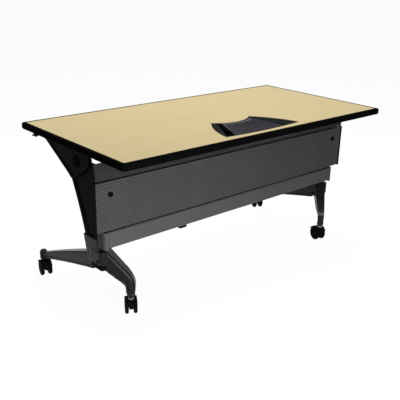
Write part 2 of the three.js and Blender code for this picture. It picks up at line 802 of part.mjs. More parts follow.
// The cap on the panel's end, with a tongue that fills the channel
function panelEnd() {
  const start = panelHalf - panelEndWidth;
  const plan = roundedRectangle(start, panelHalf, panelFrontY, panelBackY, panelEndRounding);
  const tongueFront = panelFrontY + panelRibDepth + panelSheet + seam;
  const [bottom, top] = [panelBottom + panelSheet + seam, panelTop - panelSheet - seam];
  const [tongueStart, tongueEnd] = [start - panelEndTongue, start + panelEndRounding];
  const tongue = block(tongueStart, tongueEnd, tongueFront, panelBackY - seam, bottom, top);
  return carve([raise(plan, panelBottom, panelTop, panelEndBevel, 2), tongue]);
}

function panelKnob() {
  const profile = [
    [0, -knobScrewLength],
    [knobScrewRadius, -knobScrewLength],
    [knobScrewRadius, 0],
    [knobRadius, 0],
    [knobRadius, knobRim],
    [knobCrown, knobHeight],
    [knobDimple, knobHeight],
    [knobDimple, knobHeight - knobDimpleDepth],
    [0, knobHeight - knobDimpleDepth],
  ];
  return turned(profile, 12).rotateX(Math.PI / 2).translate(knobX, panelFrontY - seam, panelTop - knobDrop);
}

// The smooth strip above the panel, leaning back towards its top, on a flange that meets the columns
function upperRail() {
  const bottom = panelTop + railGroove;
  const top = bottom + railHeight;
  const swell = bottom + railHeight * railSwell;
  const profile = new THREE.Shape();
  profile.moveTo(panelBackY, bottom);
  profile.lineTo(panelFrontY, bottom);
  profile.quadraticCurveTo(panelFrontY, swell, panelFrontY + railLean, top);
  profile.lineTo(panelFrontY + railLean + railSheet, top - railSheet / 2);
  profile.quadraticCurveTo(panelFrontY + railSheet, swell, panelFrontY + railSheet, bottom + railSheet);
  profile.lineTo(panelBackY, bottom + railSheet);
  return stretch(profile, -railHalf, railHalf);
}

function crossbeam() {
  const profile = roundedRectangle(beamFrontY, beamBackY, beamBottom, beamTop, beamCorner);
  profile.holes.push(inset(profile, beamWall));
  return stretch(profile, -beamHalf, beamHalf, 0, 2);
}

// The rounded cap that closes the beam and ties it to the column, with a tongue inside the beam
function beamCap() {
  const start = beamHalf + seam;
  const plan = new THREE.Shape();
  plan.moveTo(start, beamBackY);
  plan.lineTo(start, beamFrontY);
  plan.absarc(beamCapOuter - beamCapRadius, beamFrontY + beamCapRadius, beamCapRadius, -Math.PI / 2, 0);
  plan.lineTo(beamCapOuter, beamBackY);
  const inside = beamWall + seam;
  const [rear, front] = [beamFrontY + inside, beamBackY - inside];
  const tongueSide = roundedRectangle(rear, front, beamBottom + inside, beamTop - inside, beamCorner - inside);
  return carve([
    raise(plan, beamCapBottom, beamCapTop, beamCapRounding),
    stretch(tongueSide, start - beamCapTongue, start + beamCapRounding, 0, 2),
  ]);
}

// A hooked cable clip under the beam
function beamClip() {
  const top = beamBottom - seam;
  const middle = (beamFrontY + beamBackY) / 2;
  const [rear, front] = [middle - clipDepth / 2, middle + clipDepth / 2];
  const side = roundedRectangle(rear, front, top - clipDrop, top, clipCorner);
  const throat = roundedRectangle(
    rear + clipThickness,
    front + clipDepth,
    top - clipDrop + clipThickness,
    top - clipThickness,
    clipThroatCorner,
  );
  const [from, to] = [clipX - clipLength / 2, clipX + clipLength / 2];
  return carve([stretch(side, from, to, 0, 2)], [stretch(throat, from - cutMargin, to + cutMargin, 0, 2)]);
}

// The long arm towards the user: upright sections that grow lower and narrower along a slightly bowed line
function longArm() {
  const steps = 8;
  const { lerp } = THREE.MathUtils;
  const across = xAxis.clone().negate();
  const rings = Array.from({ length: steps + 1 }, (_, i) => {
    const t = i / steps;
    const bow = 4 * longArmBow * t * (1 - t);
    const top = lerp(longArmHubTop, longArmEndTop, t) + bow;
    const bottom = lerp(longArmHubBottom, longArmEndBottom, t) + bow;
    const width = lerp(longArmHubWidth, longArmEndWidth, t);
    const x = lerp(legCentre, userStemX, t);
    const middle = new THREE.Vector3(x, lerp(longArmStartY, userStemY, t), (top + bottom) / 2);
    return ring(middle, across, width / 2, zAxis, (top - bottom) / 2, 3);
  });
  return loft(rings);
}

// The short arm towards the panel's side: it leaves the hub inwards and bends down into its caster boss
function shortArm() {
  const steps = 8;
  const { lerp } = THREE.MathUtils;
  const start = new THREE.Vector3(hubX - hubRound / 2, shortArmStartY, shortArmStartZ);
  const end = new THREE.Vector3(panelStemX, panelStemY, casterBossBottom);
  const knee = new THREE.Vector3(panelStemX, panelStemY, shortArmKneeZ);
  const kneeIn = start.clone().lerp(knee, shortArmStraight);
  const path = new THREE.CubicBezierCurve3(start, kneeIn, knee, end);
  const plan = end.clone().sub(start).setZ(0).normalize();
  const across = plan.clone().cross(zAxis);
  const rings = Array.from({ length: steps + 1 }, (_, i) => {
    const t = i / steps;
    const size = shortArmEndSize + shortArmSwell * Math.sin(Math.PI * t);
    const tangent = i === steps ? zAxis.clone().negate() : path.getTangent(t);
    const up = tangent.clone().cross(across);
    return ring(path.getPoint(t), across, size / 2, up, size / 2, lerp(3, 2, t));
  });
  return loft(rings);
}

// The cast foot: a hub with the column's socket, a long arm, a short arm and a boss for each caster's stem
function foot() {
  const half = footWidth / 2;
  const [left, right] = [legCentre - half, legCentre + half];
  const hubPlan = roundedRectangle(hubX - hubRound, hubX + hubRound, hubNoseY, hubRearY, hubRound);
  const socket = new THREE.Shape();
  const slope = (columnHeelY - columnFootRear) / (pivotZ - columnHeelDrop - columnBottom);
  const rearAt = (z) => columnFootRear + socketWall + (z - columnBottom) * slope;
  socket.moveTo(columnBeamY, hubBottom + hubRounding);
  socket.lineTo(rearAt(columnBottom), hubBottom + hubRounding);
  socket.lineTo(rearAt(columnBottom), columnBottom);
  socket.lineTo(rearAt(socketTop), socketTop);
  socket.lineTo(columnBeamY, socketTop);
  const bossTop = casterBossBottom + casterBossHeight;
  const dome = [90, 60, 30, 0].map((degrees) => {
    const angle = THREE.MathUtils.degToRad(degrees);
    return [casterBossRadius * Math.sin(angle), bossTop + casterBossDome * Math.cos(angle)];
  });
  const bossProfile = [[0, casterBossBottom], [casterBossRadius, casterBossBottom], ...dome];
  const userBoss = turned(bossProfile).translate(userStemX, userStemY, 0);
  const joined = [
    raise(hubPlan, hubBottom, hubTop, hubRounding),
    stretch(socket, left, right, socketWall / 2),
    longArm(),
    shortArm(),
    userBoss,
  ];
  const stemTop = casterBossBottom + stemInFoot + seam;
  const stemBore = (x, y) => drill("z", stemRadius + seam, casterBossBottom, stemTop, [x, y, 0], 12);
  const mouth = stretch(inset(columnOutline(), -seam), columnInnerX - seam, columnOuterX + seam);
  const plugPlace = [hubX, plugY, 0];
  const [seatBottom, seatTop] = [hubBottom - 2 * plugDrop, hubBottom - cutMargin];
  const plugSeat = drill("z", plugRadius + plugLip + seam, seatBottom, seatTop, plugPlace);
  const plugBore = drill("z", plugRadius + seam, hubBottom, hubBottom + plugDepth, plugPlace);
  return carve(joined, [
    mouth,
    plugSeat,
    plugBore,
    stemBore(userStemX, userStemY),
    stemBore(panelStemX, panelStemY),
  ]);
}

// The black plug that closes the hub from below
function footPlug() {
  const flange = plugRadius + plugLip;
  const seat = hubBottom - seam;
  const profile = [
    [0, seat - plugDrop],
    [plugCrown, seat - plugDrop],
    [flange, seat - plugRim],
    [flange, seat],
    [plugRadius, seat],
    [plugRadius, seat + plugDepth],
    [0, seat + plugDepth],
  ];
  return turned(profile, 12).translate(hubX, plugY, 0);
}

// Caster pieces stand about their stem, with the wheels trailing along -X
const axlePlace = [-casterTrail, 0, wheelRadius];

function casterStem() {
  const [collarBottom, collarTop] = [hoodTop + seam, hoodTop + seam + collarHeight];
  const profile = [
    [0, hoodTop - stemInHood],
    [stemRadius, hoodTop - stemInHood],
    [stemRadius, collarBottom],
    [collarRadius, collarBottom],
    [collarRadius, collarTop],
    [stemRadius, collarTop],
    [stemRadius, casterBossBottom + stemInFoot],
    [0, casterBossBottom + stemInFoot],
  ];
  return turned(profile, 12);
}

// A fender between the wheels, with a roof over both treads and a boss for the stem
function casterHood() {
  const upright = new THREE.Matrix4().makeBasis(xAxis, zAxis, yAxis.clone().negate());
  const across = (outline, width) => {
    const piece = raise(outline, -width / 2, width / 2).applyMatrix4(upright);
    return piece.translate(-casterTrail, 0, wheelRadius);
  };
  const edge = THREE.MathUtils.degToRad(90 - hoodSpan / 2);
  const roof = new THREE.Shape();
  roof.absarc(0, 0, hoodOuter, edge, Math.PI - edge);
  roof.absarc(0, 0, hoodOuter - hoodThickness, Math.PI - edge, edge, true);
  const fender = new THREE.Shape();
  fender.absarc(0, 0, hoodOuter - hoodThickness / 2, 0, Math.PI);
  const joined = [
    across(roof, casterWidth),
    across(fender, webThickness),
    bar("y", hoodKeel, -webThickness / 2, webThickness / 2, axlePlace, 12),
    bar("z", webThickness / 2, wheelRadius, hoodTop, [0, 0, 0], 12),
  ];
  const cut = [
    drill("y", axleRadius + seam, -webThickness / 2, webThickness / 2, axlePlace, 12),
    drill("z", stemRadius + runningGap, hoodTop - stemInHood, hoodTop, [0, 0, 0], 12),
  ];
  return carve(joined, cut);
}

function casterAxle() {
  const half = casterWidth / 2 - axleRecess;
  return bar("y", axleRadius, -half, half, axlePlace, 12);
}

// One wheel, dished on its outer face, which points along +Z here
function casterWheel() {
  const half = wheelThickness / 2;
  const bore = axleRadius + runningGap;
  const rim = wheelRadius - wheelRimWidth;
  return turned([
    [bore, -half],
    [wheelRadius - wheelShoulder, -half],
    [wheelRadius, wheelShoulder - half],
    [wheelRadius, half - wheelShoulder],
    [wheelRadius - wheelShoulder, half],
    [rim, half],
    [rim - wheelDish, half - wheelDish],
    [bore, half - wheelDish],
    [bore, -half],
  ]);
}

const table = new THREE.Group();

function add(group, name, piece, material) {
  const geometry = piece.isBufferGeometry ? piece : surface(piece);
  const mesh = new THREE.Mesh(geometry, material);
  mesh.name = name;
  group.add(mesh);
}

add(table, "worktop", worktop(), laminate);
add(table, "edge_band", edgeBand(), blackEdge);
add(table, "port_bezel", portBezel(), portPlastic);
add(table, "port_well", portWell(), portPlastic);
add(table, "lid_pin", lidPin(), steel);

const lid = new THREE.Group();
lid.position.set(0, lidPinY, lidPinZ);
lid.rotation.x = lidTilt;
add(lid, "port_lid", portLid(), portPlastic);
table.add(lid);

add(table, "modesty_panel", modestyPanel(), greyPaint);
add(table, "upper_rail", upperRail(), greyPaint);
add(table, "crossbeam", crossbeam(), greyPaint);
add(table, "beam_clip", beamClip(), blackPlastic);

const sidePieces = [
  ["column", column(), blackPaint],
  ["pivot_bush", pivotBush(), steel],
  ["pivot_pin", pivotPin(), blackPaint],
  ["top_bracket", topBracket(), blackPaint],
  ["lock_housing", lockHousing(), blackPlastic],
  ["paddle_block", paddleBlock(), blackPlastic],
  ["release_paddle", releasePaddle(), blackPlastic],
  ["release_rod", releaseRod(), steel],
  ["panel_end", panelEnd(), blackPlastic],
  ["panel_knob", panelKnob(), blackPlastic],
  ["beam_cap", beamCap(), castPaint],
  ["foot", foot(), castPaint],
  ["foot_plug", footPlug(), blackPlastic],
];
for (const side of ["left", "right"]) {
  const half = new THREE.Group();
  half.scale.x = side === "left" ? -1 : 1;
  for (const [name, piece, material] of sidePieces) add(half, `${side}_${name}`, piece, material);
  table.add(half);
}

// The casters, each turned about its stem as it came to rest, in degrees from +X
const casters = [
  { place: "panel_left", x: -panelStemX, y: panelStemY, heading: 240 },
  { place: "panel_right", x: panelStemX, y: panelStemY, heading: 255 },
  { place: "user_left", x: -userStemX, y: userStemY, heading: 76 },
  { place: "user_right", x: userStemX, y: userStemY, heading: 65 },
];
for (const { place, x, y, heading } of casters) {
  const caster = new THREE.Group();
  caster.position.set(x, y, 0);
  caster.rotation.z = THREE.MathUtils.degToRad(heading);
  add(caster, `${place}_caster_stem`, casterStem(), steel);
  add(caster, `${place}_caster_hood`, casterHood(), blackPlastic);
  add(caster, `${place}_caster_axle`, casterAxle(), steel);
  for (const [name, turn] of [["wheel_a", 1], ["wheel_b", -1]]) {
    const wheel = casterWheel().rotateX((turn * Math.PI) / 2);
    wheel.translate(-casterTrail, (-turn * wheelSpacing) / 2, wheelRadius);
    add(caster, `${place}_caster_${name}`, wheel, tread);
  }
  table.add(caster);
}

export default table;
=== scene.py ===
import json
import math

import bmesh
import bpy
from mathutils import Matrix, Vector
from mathutils.geometry import intersect_sphere_sphere_2d


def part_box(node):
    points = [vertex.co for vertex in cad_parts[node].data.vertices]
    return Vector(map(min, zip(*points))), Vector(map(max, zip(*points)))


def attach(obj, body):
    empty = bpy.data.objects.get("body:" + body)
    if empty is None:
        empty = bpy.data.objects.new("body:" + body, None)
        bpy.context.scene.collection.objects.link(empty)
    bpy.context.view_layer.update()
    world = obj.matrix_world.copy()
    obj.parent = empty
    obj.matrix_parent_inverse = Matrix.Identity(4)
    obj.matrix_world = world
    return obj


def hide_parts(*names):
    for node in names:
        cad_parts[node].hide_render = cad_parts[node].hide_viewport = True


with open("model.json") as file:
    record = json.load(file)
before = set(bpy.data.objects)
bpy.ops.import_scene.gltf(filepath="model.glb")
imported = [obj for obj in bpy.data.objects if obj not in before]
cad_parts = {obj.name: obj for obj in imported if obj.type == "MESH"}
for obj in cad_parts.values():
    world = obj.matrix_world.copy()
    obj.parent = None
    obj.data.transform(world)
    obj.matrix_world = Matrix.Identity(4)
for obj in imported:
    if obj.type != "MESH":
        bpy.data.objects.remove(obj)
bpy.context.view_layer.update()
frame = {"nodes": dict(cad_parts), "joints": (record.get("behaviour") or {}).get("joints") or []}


# The feet: one aluminium casting at each end, with a socket for the column, a long arm to the user's side and
# a short arm that bends down on the panel's side. Both arms have sunk flanks, and the whole is painted.
def linear(colour):
    """An sRGB hex colour as the linear values of a shader socket."""
    parts = [int(colour[i:i + 2], 16) / 255 for i in (1, 3, 5)]
    return [c / 12.92 if c <= 0.04045 else ((c + 0.055) / 1.055) ** 2.4 for c in parts] + [1]


def add_node(tree, kind, sockets=(), **settings):
    """Adds a shader node, sets its options, and fills or links its sockets."""
    node = tree.nodes.new(kind)
    for option, value in settings.items():
        setattr(node, option, value)
    for socket, value in dict(sockets).items():
        if isinstance(value, bpy.types.NodeSocket):
            tree.links.new(value, node.inputs[socket])
        else:
            node.inputs[socket].default_value = value
    return node


def new_material(name):
    """An empty material with its own node tree."""
    material = bpy.data.materials.new(name)
    material.use_nodes = True
    material.node_tree.nodes.clear()
    return material, material.node_tree


# Dark metallic paint over a sand-cast skin: 3 mm pebbling that the paint softens, and slow changes of depth
# and sheen where it was sprayed thinner
cast_paint, tree = new_material("metallic_paint_on_cast_aluminium")
place = add_node(tree, "ShaderNodeTexCoord").outputs["Object"]
pebbles = add_node(tree, "ShaderNodeTexNoise", {"Vector": place, "Scale": 1 / 0.003, "Detail": 2})
patches = add_node(tree, "ShaderNodeTexNoise", {"Vector": place, "Scale": 1 / 0.07, "Detail": 4})
paint = add_node(tree, "ShaderNodeMix", {
    "Factor": patches.outputs["Fac"], "A": linear("#1c1c1a"), "B": linear("#262624")}, data_type="RGBA")
sheen = add_node(tree, "ShaderNodeMapRange", {
    "Value": patches.outputs["Fac"], "To Min": 0.25, "To Max": 0.33})
skin = add_node(tree, "ShaderNodeBump", {
    "Height": pebbles.outputs["Fac"], "Strength": 0.06, "Distance": 0.0004})
surface = add_node(tree, "ShaderNodeBsdfPrincipled", {
    "Base Color": paint.outputs["Result"], "Metallic": 0.1, "Roughness": sheen.outputs["Result"],
    "Specular IOR Level": 0.1, "Normal": skin.outputs["Normal"]})
add_node(tree, "ShaderNodeOutputMaterial", {"Surface": surface.outputs["BSDF"]})


def select_only(piece):
    """Leaves one piece selected and active, so that operators act on it alone."""
    bpy.ops.object.select_all(action="DESELECT")
    piece.select_set(True)
    bpy.context.view_layer.objects.active = piece


def pick(kind, test):
    """Selects, in edit mode, the vertices, edges or faces whose middle and normal pass a test."""
    bpy.ops.mesh.select_mode(type=kind)
    bpy.ops.mesh.select_all(action="DESELECT")
    mesh = bmesh.from_edit_mesh(bpy.context.object.data)
    for part in {"VERT": mesh.verts, "EDGE": mesh.edges, "FACE": mesh.faces}[kind]:
        if kind == "VERT":
            chosen = test(part.co, part.normal)
        elif kind == "EDGE":
            ends = [vertex.co for vertex in part.verts]
            chosen = test((ends[0] + ends[1]) / 2, (ends[1] - ends[0]).normalized())
        else:
            chosen = test(part.calc_center_median(), part.normal)
        part.select_set(chosen)
    mesh.select_flush_mode()
    bmesh.update_edit_mesh(bpy.context.object.data)


def finish_modifier(piece, kind, **settings):
    """Adds a modifier with its settings and applies it."""
    modifier = piece.modifiers.new(kind.title(), kind)
    for option, value in settings.items():
        setattr(modifier, option, value)
    select_only(piece)
    bpy.ops.object.modifier_apply(modifier=modifier.name)


def soften(piece, width, segments=3):
    """Rounds every edge of a piece that turns by more than 40 degrees."""
    finish_modifier(piece, "BEVEL", width=width, segments=segments, limit_method="ANGLE",
                    angle_limit=math.radians(40))


def slab(name, low, high):
    """Starts a piece as a block between two corners, with its place in its mesh."""
    bpy.ops.object.select_all(action="DESELECT")
    middle = [(a + b) / 2 for a, b in zip(low, high)]
    bpy.ops.mesh.primitive_cube_add(size=1, location=middle, scale=[b - a for a, b in zip(low, high)])
    bpy.ops.object.transform_apply(location=True, rotation=True, scale=True)
    piece = bpy.context.object
    piece.name = name
    return piece


def cylinder(radius, height, sides, middle=(0, 0, 0), ends="NGON"):
    """Starts a piece as an upright cylinder, with its place in its mesh."""
    bpy.ops.object.select_all(action="DESELECT")
    bpy.ops.mesh.primitive_cylinder_add(vertices=sides, radius=radius, depth=height, location=middle,
                                        end_fill_type=ends)
    bpy.ops.object.transform_apply(location=True, rotation=True, scale=True)
    return bpy.context.object


def round_edges(piece, test, radius, segments=4):
    """Rounds the edges whose middle and direction pass a test."""
    select_only(piece)
    bpy.ops.object.mode_set(mode="EDIT")
    pick("EDGE", test)
    bpy.ops.mesh.bevel(offset=radius, segments=segments, affect="EDGES")
    bpy.ops.object.mode_set(mode="OBJECT")


def join(name, pieces):
    """Makes one piece of several."""
    bpy.ops.object.select_all(action="DESELECT")
    for piece in pieces:
        piece.select_set(True)
    bpy.context.view_layer.objects.active = pieces[0]
    bpy.ops.object.join()
    pieces[0].name = name
    return pieces[0]


def moved_copy(name, piece, move):
    """A copy of a piece with its own mesh, moved by a matrix and turned right side out if that mirrors it."""
    copy = bpy.data.objects.new(name, piece.data.copy())
    bpy.context.scene.collection.objects.link(copy)
    copy.data.transform(move)
    if move.determinant() < 0:
        copy.data.flip_normals()
    return copy


def settle(piece, material, body, nodes=(), angle=35):
    """Gives a finished piece its shading, finish and body, and hides the CAD nodes that it stands for."""
    select_only(piece)
    bpy.ops.object.shade_smooth_by_angle(angle=math.radians(angle))
    finish_modifier(piece, "WEIGHTED_NORMAL", keep_sharp=True)
    piece.data.materials.clear()
    piece.data.materials.append(material)
    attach(piece, body)
    if nodes:
        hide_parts(*nodes)


mirror = Matrix.Scale(-1, 4, (1, 0, 0))


def settle_pair(piece, material, node, angle=35):
    """Settles a piece of the right end on the base, and its mirror image at the left end."""
    image = moved_copy(piece.name.replace("right", "left"), piece, mirror)
    settle(piece, material, "base", [f"right_{node}"], angle)
    settle(image, material, "base", [f"left_{node}"], angle)


def inset_faces(piece, test, rings):
    """Insets the faces that pass a test, by the width and rise of each ring in turn."""
    select_only(piece)
    bpy.ops.object.mode_set(mode="EDIT")
    pick("FACE", test)
    for width, rise in rings:
        bpy.ops.mesh.inset(thickness=width, depth=rise)
    bpy.ops.object.mode_set(mode="OBJECT")


def station(middle, across, up, width, height):
    """The place and size of a unit section on an arm's line."""
    along = across.cross(up)
    turn = Matrix((across, up, along)).transposed().to_4x4()
    return Matrix.Translation(middle) @ turn @ Matrix.Diagonal((width, height, 1, 1))


def arm(name, stations, rim, sink):
    """A cast arm: a section extruded from station to station, with a swollen panel sunk in each flank."""
    bpy.ops.object.select_all(action="DESELECT")
    bpy.ops.mesh.primitive_plane_add(size=1)
    piece = bpy.context.object
    piece.name = name
    piece.data.transform(stations[0])
    bpy.ops.object.mode_set(mode="EDIT")
    for before, after in zip(stations, stations[1:]):
        bpy.ops.mesh.extrude_region_move()
        mesh = bmesh.from_edit_mesh(piece.data)
        moving = [vertex for vertex in mesh.verts if vertex.select]
        bmesh.ops.transform(mesh, matrix=after @ before.inverted(), verts=moving)
        bmesh.update_edit_mesh(piece.data)
    bpy.ops.mesh.select_all(action="SELECT")
    bpy.ops.mesh.normals_make_consistent(inside=False)
    bpy.ops.object.mode_set(mode="OBJECT")
    flank = stations[0].to_3x3().col[0].normalized()
    inset_faces(piece, lambda middle, normal: abs(normal.dot(flank)) > 0.9, [(rim, -sink), (rim, 0.7 * sink)])
    soften(piece, rim / 3)
    return piece


def bend(start, control, end, count=16):
    """Points on the curve from start to end that leans towards a control point."""
    curve = []
    for t in (i / count for i in range(count + 1)):
        first, second, third = (1 - t) ** 2, 2 * t * (1 - t), t * t
        curve.append([first * a + second * c + third * b for a, c, b in zip(start, control, end)])
    return curve


joints = {joint["name"]: joint for joint in frame["joints"]}
leg_x = 0.690
user_stem = Vector(joints["user_right_swivel"]["pos_m"])
panel_stem = Vector(joints["panel_right_swivel"]["pos_m"])
boss_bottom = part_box("right_foot")[0].z
x_way, z_way = Vector((1, 0, 0)), Vector((0, 0, 1))
flank_rim, flank_sink = 0.007, 0.008
casting_edge = 0.004

# The long arm tapers from the hub to the caster on the user's side, with a slight bow
root_y, root_top, root_bottom, root_width = -0.08, 0.274, 0.196, 0.046
tip_top, tip_bottom, tip_width = 0.108, boss_bottom + 0.002, 0.028
bow_height = 0.005
steps = 14
long_stations = []
for i in range(steps + 1):
    t = i / steps
    bow = 4 * bow_height * t * (1 - t)
    top = root_top + (tip_top - root_top) * t + bow
    bottom = root_bottom + (tip_bottom - root_bottom) * t + bow
    x, y = leg_x + (user_stem.x - leg_x) * t, root_y + (user_stem.y - root_y) * t
    width = root_width + (tip_width - root_width) * t
    long_stations.append(station(Vector((x, y, (top + bottom) / 2)), -x_way, z_way, width, top - bottom))
long_arm = arm("long_arm", long_stations, flank_rim, flank_sink)

# The short arm runs straight to its knee and drops upright from there, and it flares towards the hub
hub_low, hub_high = Vector((0.680, -0.148, 0.230)), Vector((0.716, -0.050, 0.288))
short_width, short_flare = 0.031, 0.028
short_height, root_swell = 0.036, 0.040
start = Vector((hub_low.x + 0.019, -0.1185, 0.266))
knee = Vector((panel_stem.x, panel_stem.y, 0.156))
end = Vector((panel_stem.x, panel_stem.y, boss_bottom + 0.026))
short_across = Vector((end.x - start.x, end.y - start.y, 0)).normalized().cross(z_way)
knee_begins, knee_ends = 0.74, 0.42
knee_in, knee_out = start.lerp(knee, knee_begins), knee.lerp(end, knee_ends)
line = [start.lerp(knee_in, i / 6) for i in range(6)]
line += [Vector(point) for point in bend(knee_in, knee, knee_out, 8)]
line += [knee_out.lerp(end, i / 4) for i in range(1, 5)]
short_stations = []
for i, middle in enumerate(line):
    along = (line[min(i + 1, len(line) - 1)] - line[max(i - 1, 0)]).normalized()
    t = i / (len(line) - 1)
    height = short_height + root_swell * (1 - t) ** 1.6
    flare = short_flare * (1 - t) ** 2
    middle = middle + short_across * flare / 2
    up = along.cross(short_across)
    short_stations.append(station(middle, short_across, up, short_width + flare, height))
short_arm = arm("short_arm", short_stations, flank_rim, flank_sink)

hub_round = 0.0175
hub = slab("hub", hub_low, hub_high)
round_edges(hub, lambda middle, way: abs(way.z) > 0.9, hub_round, 10)
round_edges(hub, lambda middle, way: abs(way.z) < 0.1, casting_edge)

socket_front, socket_rear, socket_top, socket_lean = -0.1165, -0.0395, 0.334, 0.028
socket = slab("socket", (0.6665, socket_front, 0.226), (0.7135, socket_rear, socket_top))
bpy.ops.object.mode_set(mode="EDIT")
top_rear = Vector((socket_rear, socket_top))
pick("VERT", lambda point, normal: (point.yz - top_rear).length < casting_edge)
bpy.ops.transform.translate(value=(0, socket_lean, 0))
bpy.ops.object.mode_set(mode="OBJECT")
round_edges(socket, lambda middle, way: True, casting_edge)

boss_radius, boss_height, boss_dome = 0.018, 0.044, 0.015
boss_middle = boss_bottom + boss_height / 2
user_boss = cylinder(boss_radius, boss_height, 40, (user_stem.x, user_stem.y, boss_middle))
round_edges(user_boss, lambda middle, way: middle.z > boss_middle and abs(way.z) < 0.1, boss_dome, 8)

ball_radius = 0.0178
bpy.ops.object.select_all(action="DESELECT")
bpy.ops.mesh.primitive_uv_sphere_add(segments=32, ring_count=16, radius=ball_radius,
                                     location=(panel_stem.x, panel_stem.y, boss_bottom + ball_radius))
bpy.ops.object.transform_apply(location=True)
panel_boss = bpy.context.object

# The parts run together with the soft fillets of a casting
right_foot = join("right_cast_foot", [long_arm, short_arm, hub, socket, user_boss, panel_boss])
right_foot.data.remesh_voxel_size = 0.0018
select_only(right_foot)
bpy.ops.object.voxel_remesh()
finish_modifier(right_foot, "SMOOTH", factor=0.5, iterations=8)
settle_pair(right_foot, cast_paint, "foot", 180)


# The foot plugs: black moulded caps pressed into the hub from below. Their polypropylene takes a fine grain
# from its spark-eroded mould, drawn 1.2 mm wide so that it shows, and is too dull to mirror much.
black_plastic, tree = new_material("grained_black_polypropylene")
place = add_node(tree, "ShaderNodeTexCoord").outputs["Object"]
grain = add_node(tree, "ShaderNodeTexNoise", {"Vector": place, "Scale": 1 / 0.0012, "Detail": 2})
wipe = add_node(tree, "ShaderNodeTexNoise", {"Vector": place, "Scale": 1 / 0.03, "Detail": 3})
tone = add_node(tree, "ShaderNodeMix", {
    "Factor": wipe.outputs["Fac"], "A": linear("#0b0b0c"), "B": linear("#131415")}, data_type="RGBA")
dull = add_node(tree, "ShaderNodeMapRange", {"Value": wipe.outputs["Fac"], "To Min": 0.42, "To Max": 0.6})
bumps = add_node(tree, "ShaderNodeBump", {
    "Height": grain.outputs["Fac"], "Strength": 0.2, "Distance": 0.0002})
surface = add_node(tree, "ShaderNodeBsdfPrincipled", {
    "Base Color": tone.outputs["Result"], "Roughness": dull.outputs["Result"], "Specular IOR Level": 0.01,
    "Normal": bumps.outputs["Normal"]})
add_node(tree, "ShaderNodeOutputMaterial", {"Surface": surface.outputs["BSDF"]})

# A hair is how far a cutter runs past a face, a hidden end runs into its neighbour, and a test reaches
hair = 0.001
plug_drop, plug_inset, plug_round, plug_belly = 0.008, 0.002, 0.0155, 0.009
plug_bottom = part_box("right_foot_plug")[0].z - plug_drop
plug_front, plug_rear = -0.144, -0.076
right_plug = slab("right_hub_plug", (hub_low.x + plug_inset, plug_front, plug_bottom),
                  (hub_high.x - plug_inset, plug_rear, hub_low.z + hair))
round_edges(right_plug, lambda middle, way: abs(way.z) > 0.9, plug_round, 10)
round_edges(right_plug, lambda middle, way: abs(way.z) < 0.1 and middle.z < plug_bottom + hair, plug_belly, 6)
plug_dimple = (0.003, -0.0015)
inset_faces(right_plug, lambda middle, normal: normal.z < -0.999, [plug_dimple])
settle_pair(right_plug, black_plastic, "foot_plug")


# The casters: two nylon wheels on one axle, either side of a hooded fender that swivels on a steel stem.
# Each is modelled about its stem with its wheels trailing along -X, then turned to where it came to rest.

# Zinc plate on turned steel: bright, with 8 mm smears that dull it
zinc, tree = new_material("bright_zinc_plated_steel")
place = add_node(tree, "ShaderNodeTexCoord").outputs["Object"]
smears = add_node(tree, "ShaderNodeTexNoise", {"Vector": place, "Scale": 1 / 0.008, "Detail": 3})
plating = add_node(tree, "ShaderNodeMix", {
    "Factor": smears.outputs["Fac"], "A": linear("#9b9da0"), "B": linear("#b9bbbd")}, data_type="RGBA")
polish = add_node(tree, "ShaderNodeMapRange", {"Value": smears.outputs["Fac"], "To Min": 0.22, "To Max": 0.4})
surface = add_node(tree, "ShaderNodeBsdfPrincipled", {
    "Base Color": plating.outputs["Result"], "Metallic": 1, "Roughness": polish.outputs["Result"]})
add_node(tree, "ShaderNodeOutputMaterial", {"Surface": surface.outputs["BSDF"]})

# Moulded nylon that has rolled over floors: black, with dust worn into it in 6 mm patches
wheel_nylon, tree = new_material("floor_worn_black_nylon")
place = add_node(tree, "ShaderNodeTexCoord").outputs["Object"]
dust = add_node(tree, "ShaderNodeTexNoise", {
    "Vector": place, "Scale": 1 / 0.006, "Detail": 5, "Roughness": 0.65})
tone = add_node(tree, "ShaderNodeMix", {
    "Factor": dust.outputs["Fac"], "A": linear("#060607"), "B": linear("#141413")}, data_type="RGBA")
dull = add_node(tree, "ShaderNodeMapRange", {"Value": dust.outputs["Fac"], "To Min": 0.35, "To Max": 0.7})
bumps = add_node(tree, "ShaderNodeBump", {
    "Height": dust.outputs["Fac"], "Strength": 0.15, "Distance": 0.0003})
surface = add_node(tree, "ShaderNodeBsdfPrincipled", {
    "Base Color": tone.outputs["Result"], "Roughness": dull.outputs["Result"], "Specular IOR Level": 0.01,
    "Normal": bumps.outputs["Normal"]})
add_node(tree, "ShaderNodeOutputMaterial", {"Surface": surface.outputs["BSDF"]})

wheel_radius = 0.035
wheel_width = 0.014
wheel_offset = 0.018
tread_round = 0.0042
trail = 0.015
hood_radius = 0.0395
hood_width = 0.050
hood_wall = 0.003
hood_reach = math.radians(65)
web_width = 0.019
keel_radius = 0.0065
hood_top = wheel_radius + hood_radius
lie_down = Matrix.Rotation(math.radians(90), 4, "X")
to_axle = Matrix.Translation((-trail, 0, wheel_radius))

# A wheel: its outer face, towards -Y, is dished between a rolled rim and a hub cap, from the rim inwards
wheel = cylinder(wheel_radius, wheel_width, 64)
round_edges(wheel, lambda middle, way: abs(way.z) < 0.1, tread_round, 5)
rolled_rim, dish_wall, dish = (0.0032, 0), (0.0016, -0.0024), (0.0095, 0)
cap_wall, cap_dome, inner_dish = (0.0012, 0.0016), (0.004, 0.0008), (0.006, -0.0012)
inset_faces(wheel, lambda middle, normal: normal.z > 0.999, [rolled_rim, dish_wall, dish, cap_wall, cap_dome])
inset_faces(wheel, lambda middle, normal: normal.z < -0.999, [inner_dish])
wheel.data.transform(Matrix.Translation((-trail, -wheel_offset, wheel_radius)) @ lie_down)

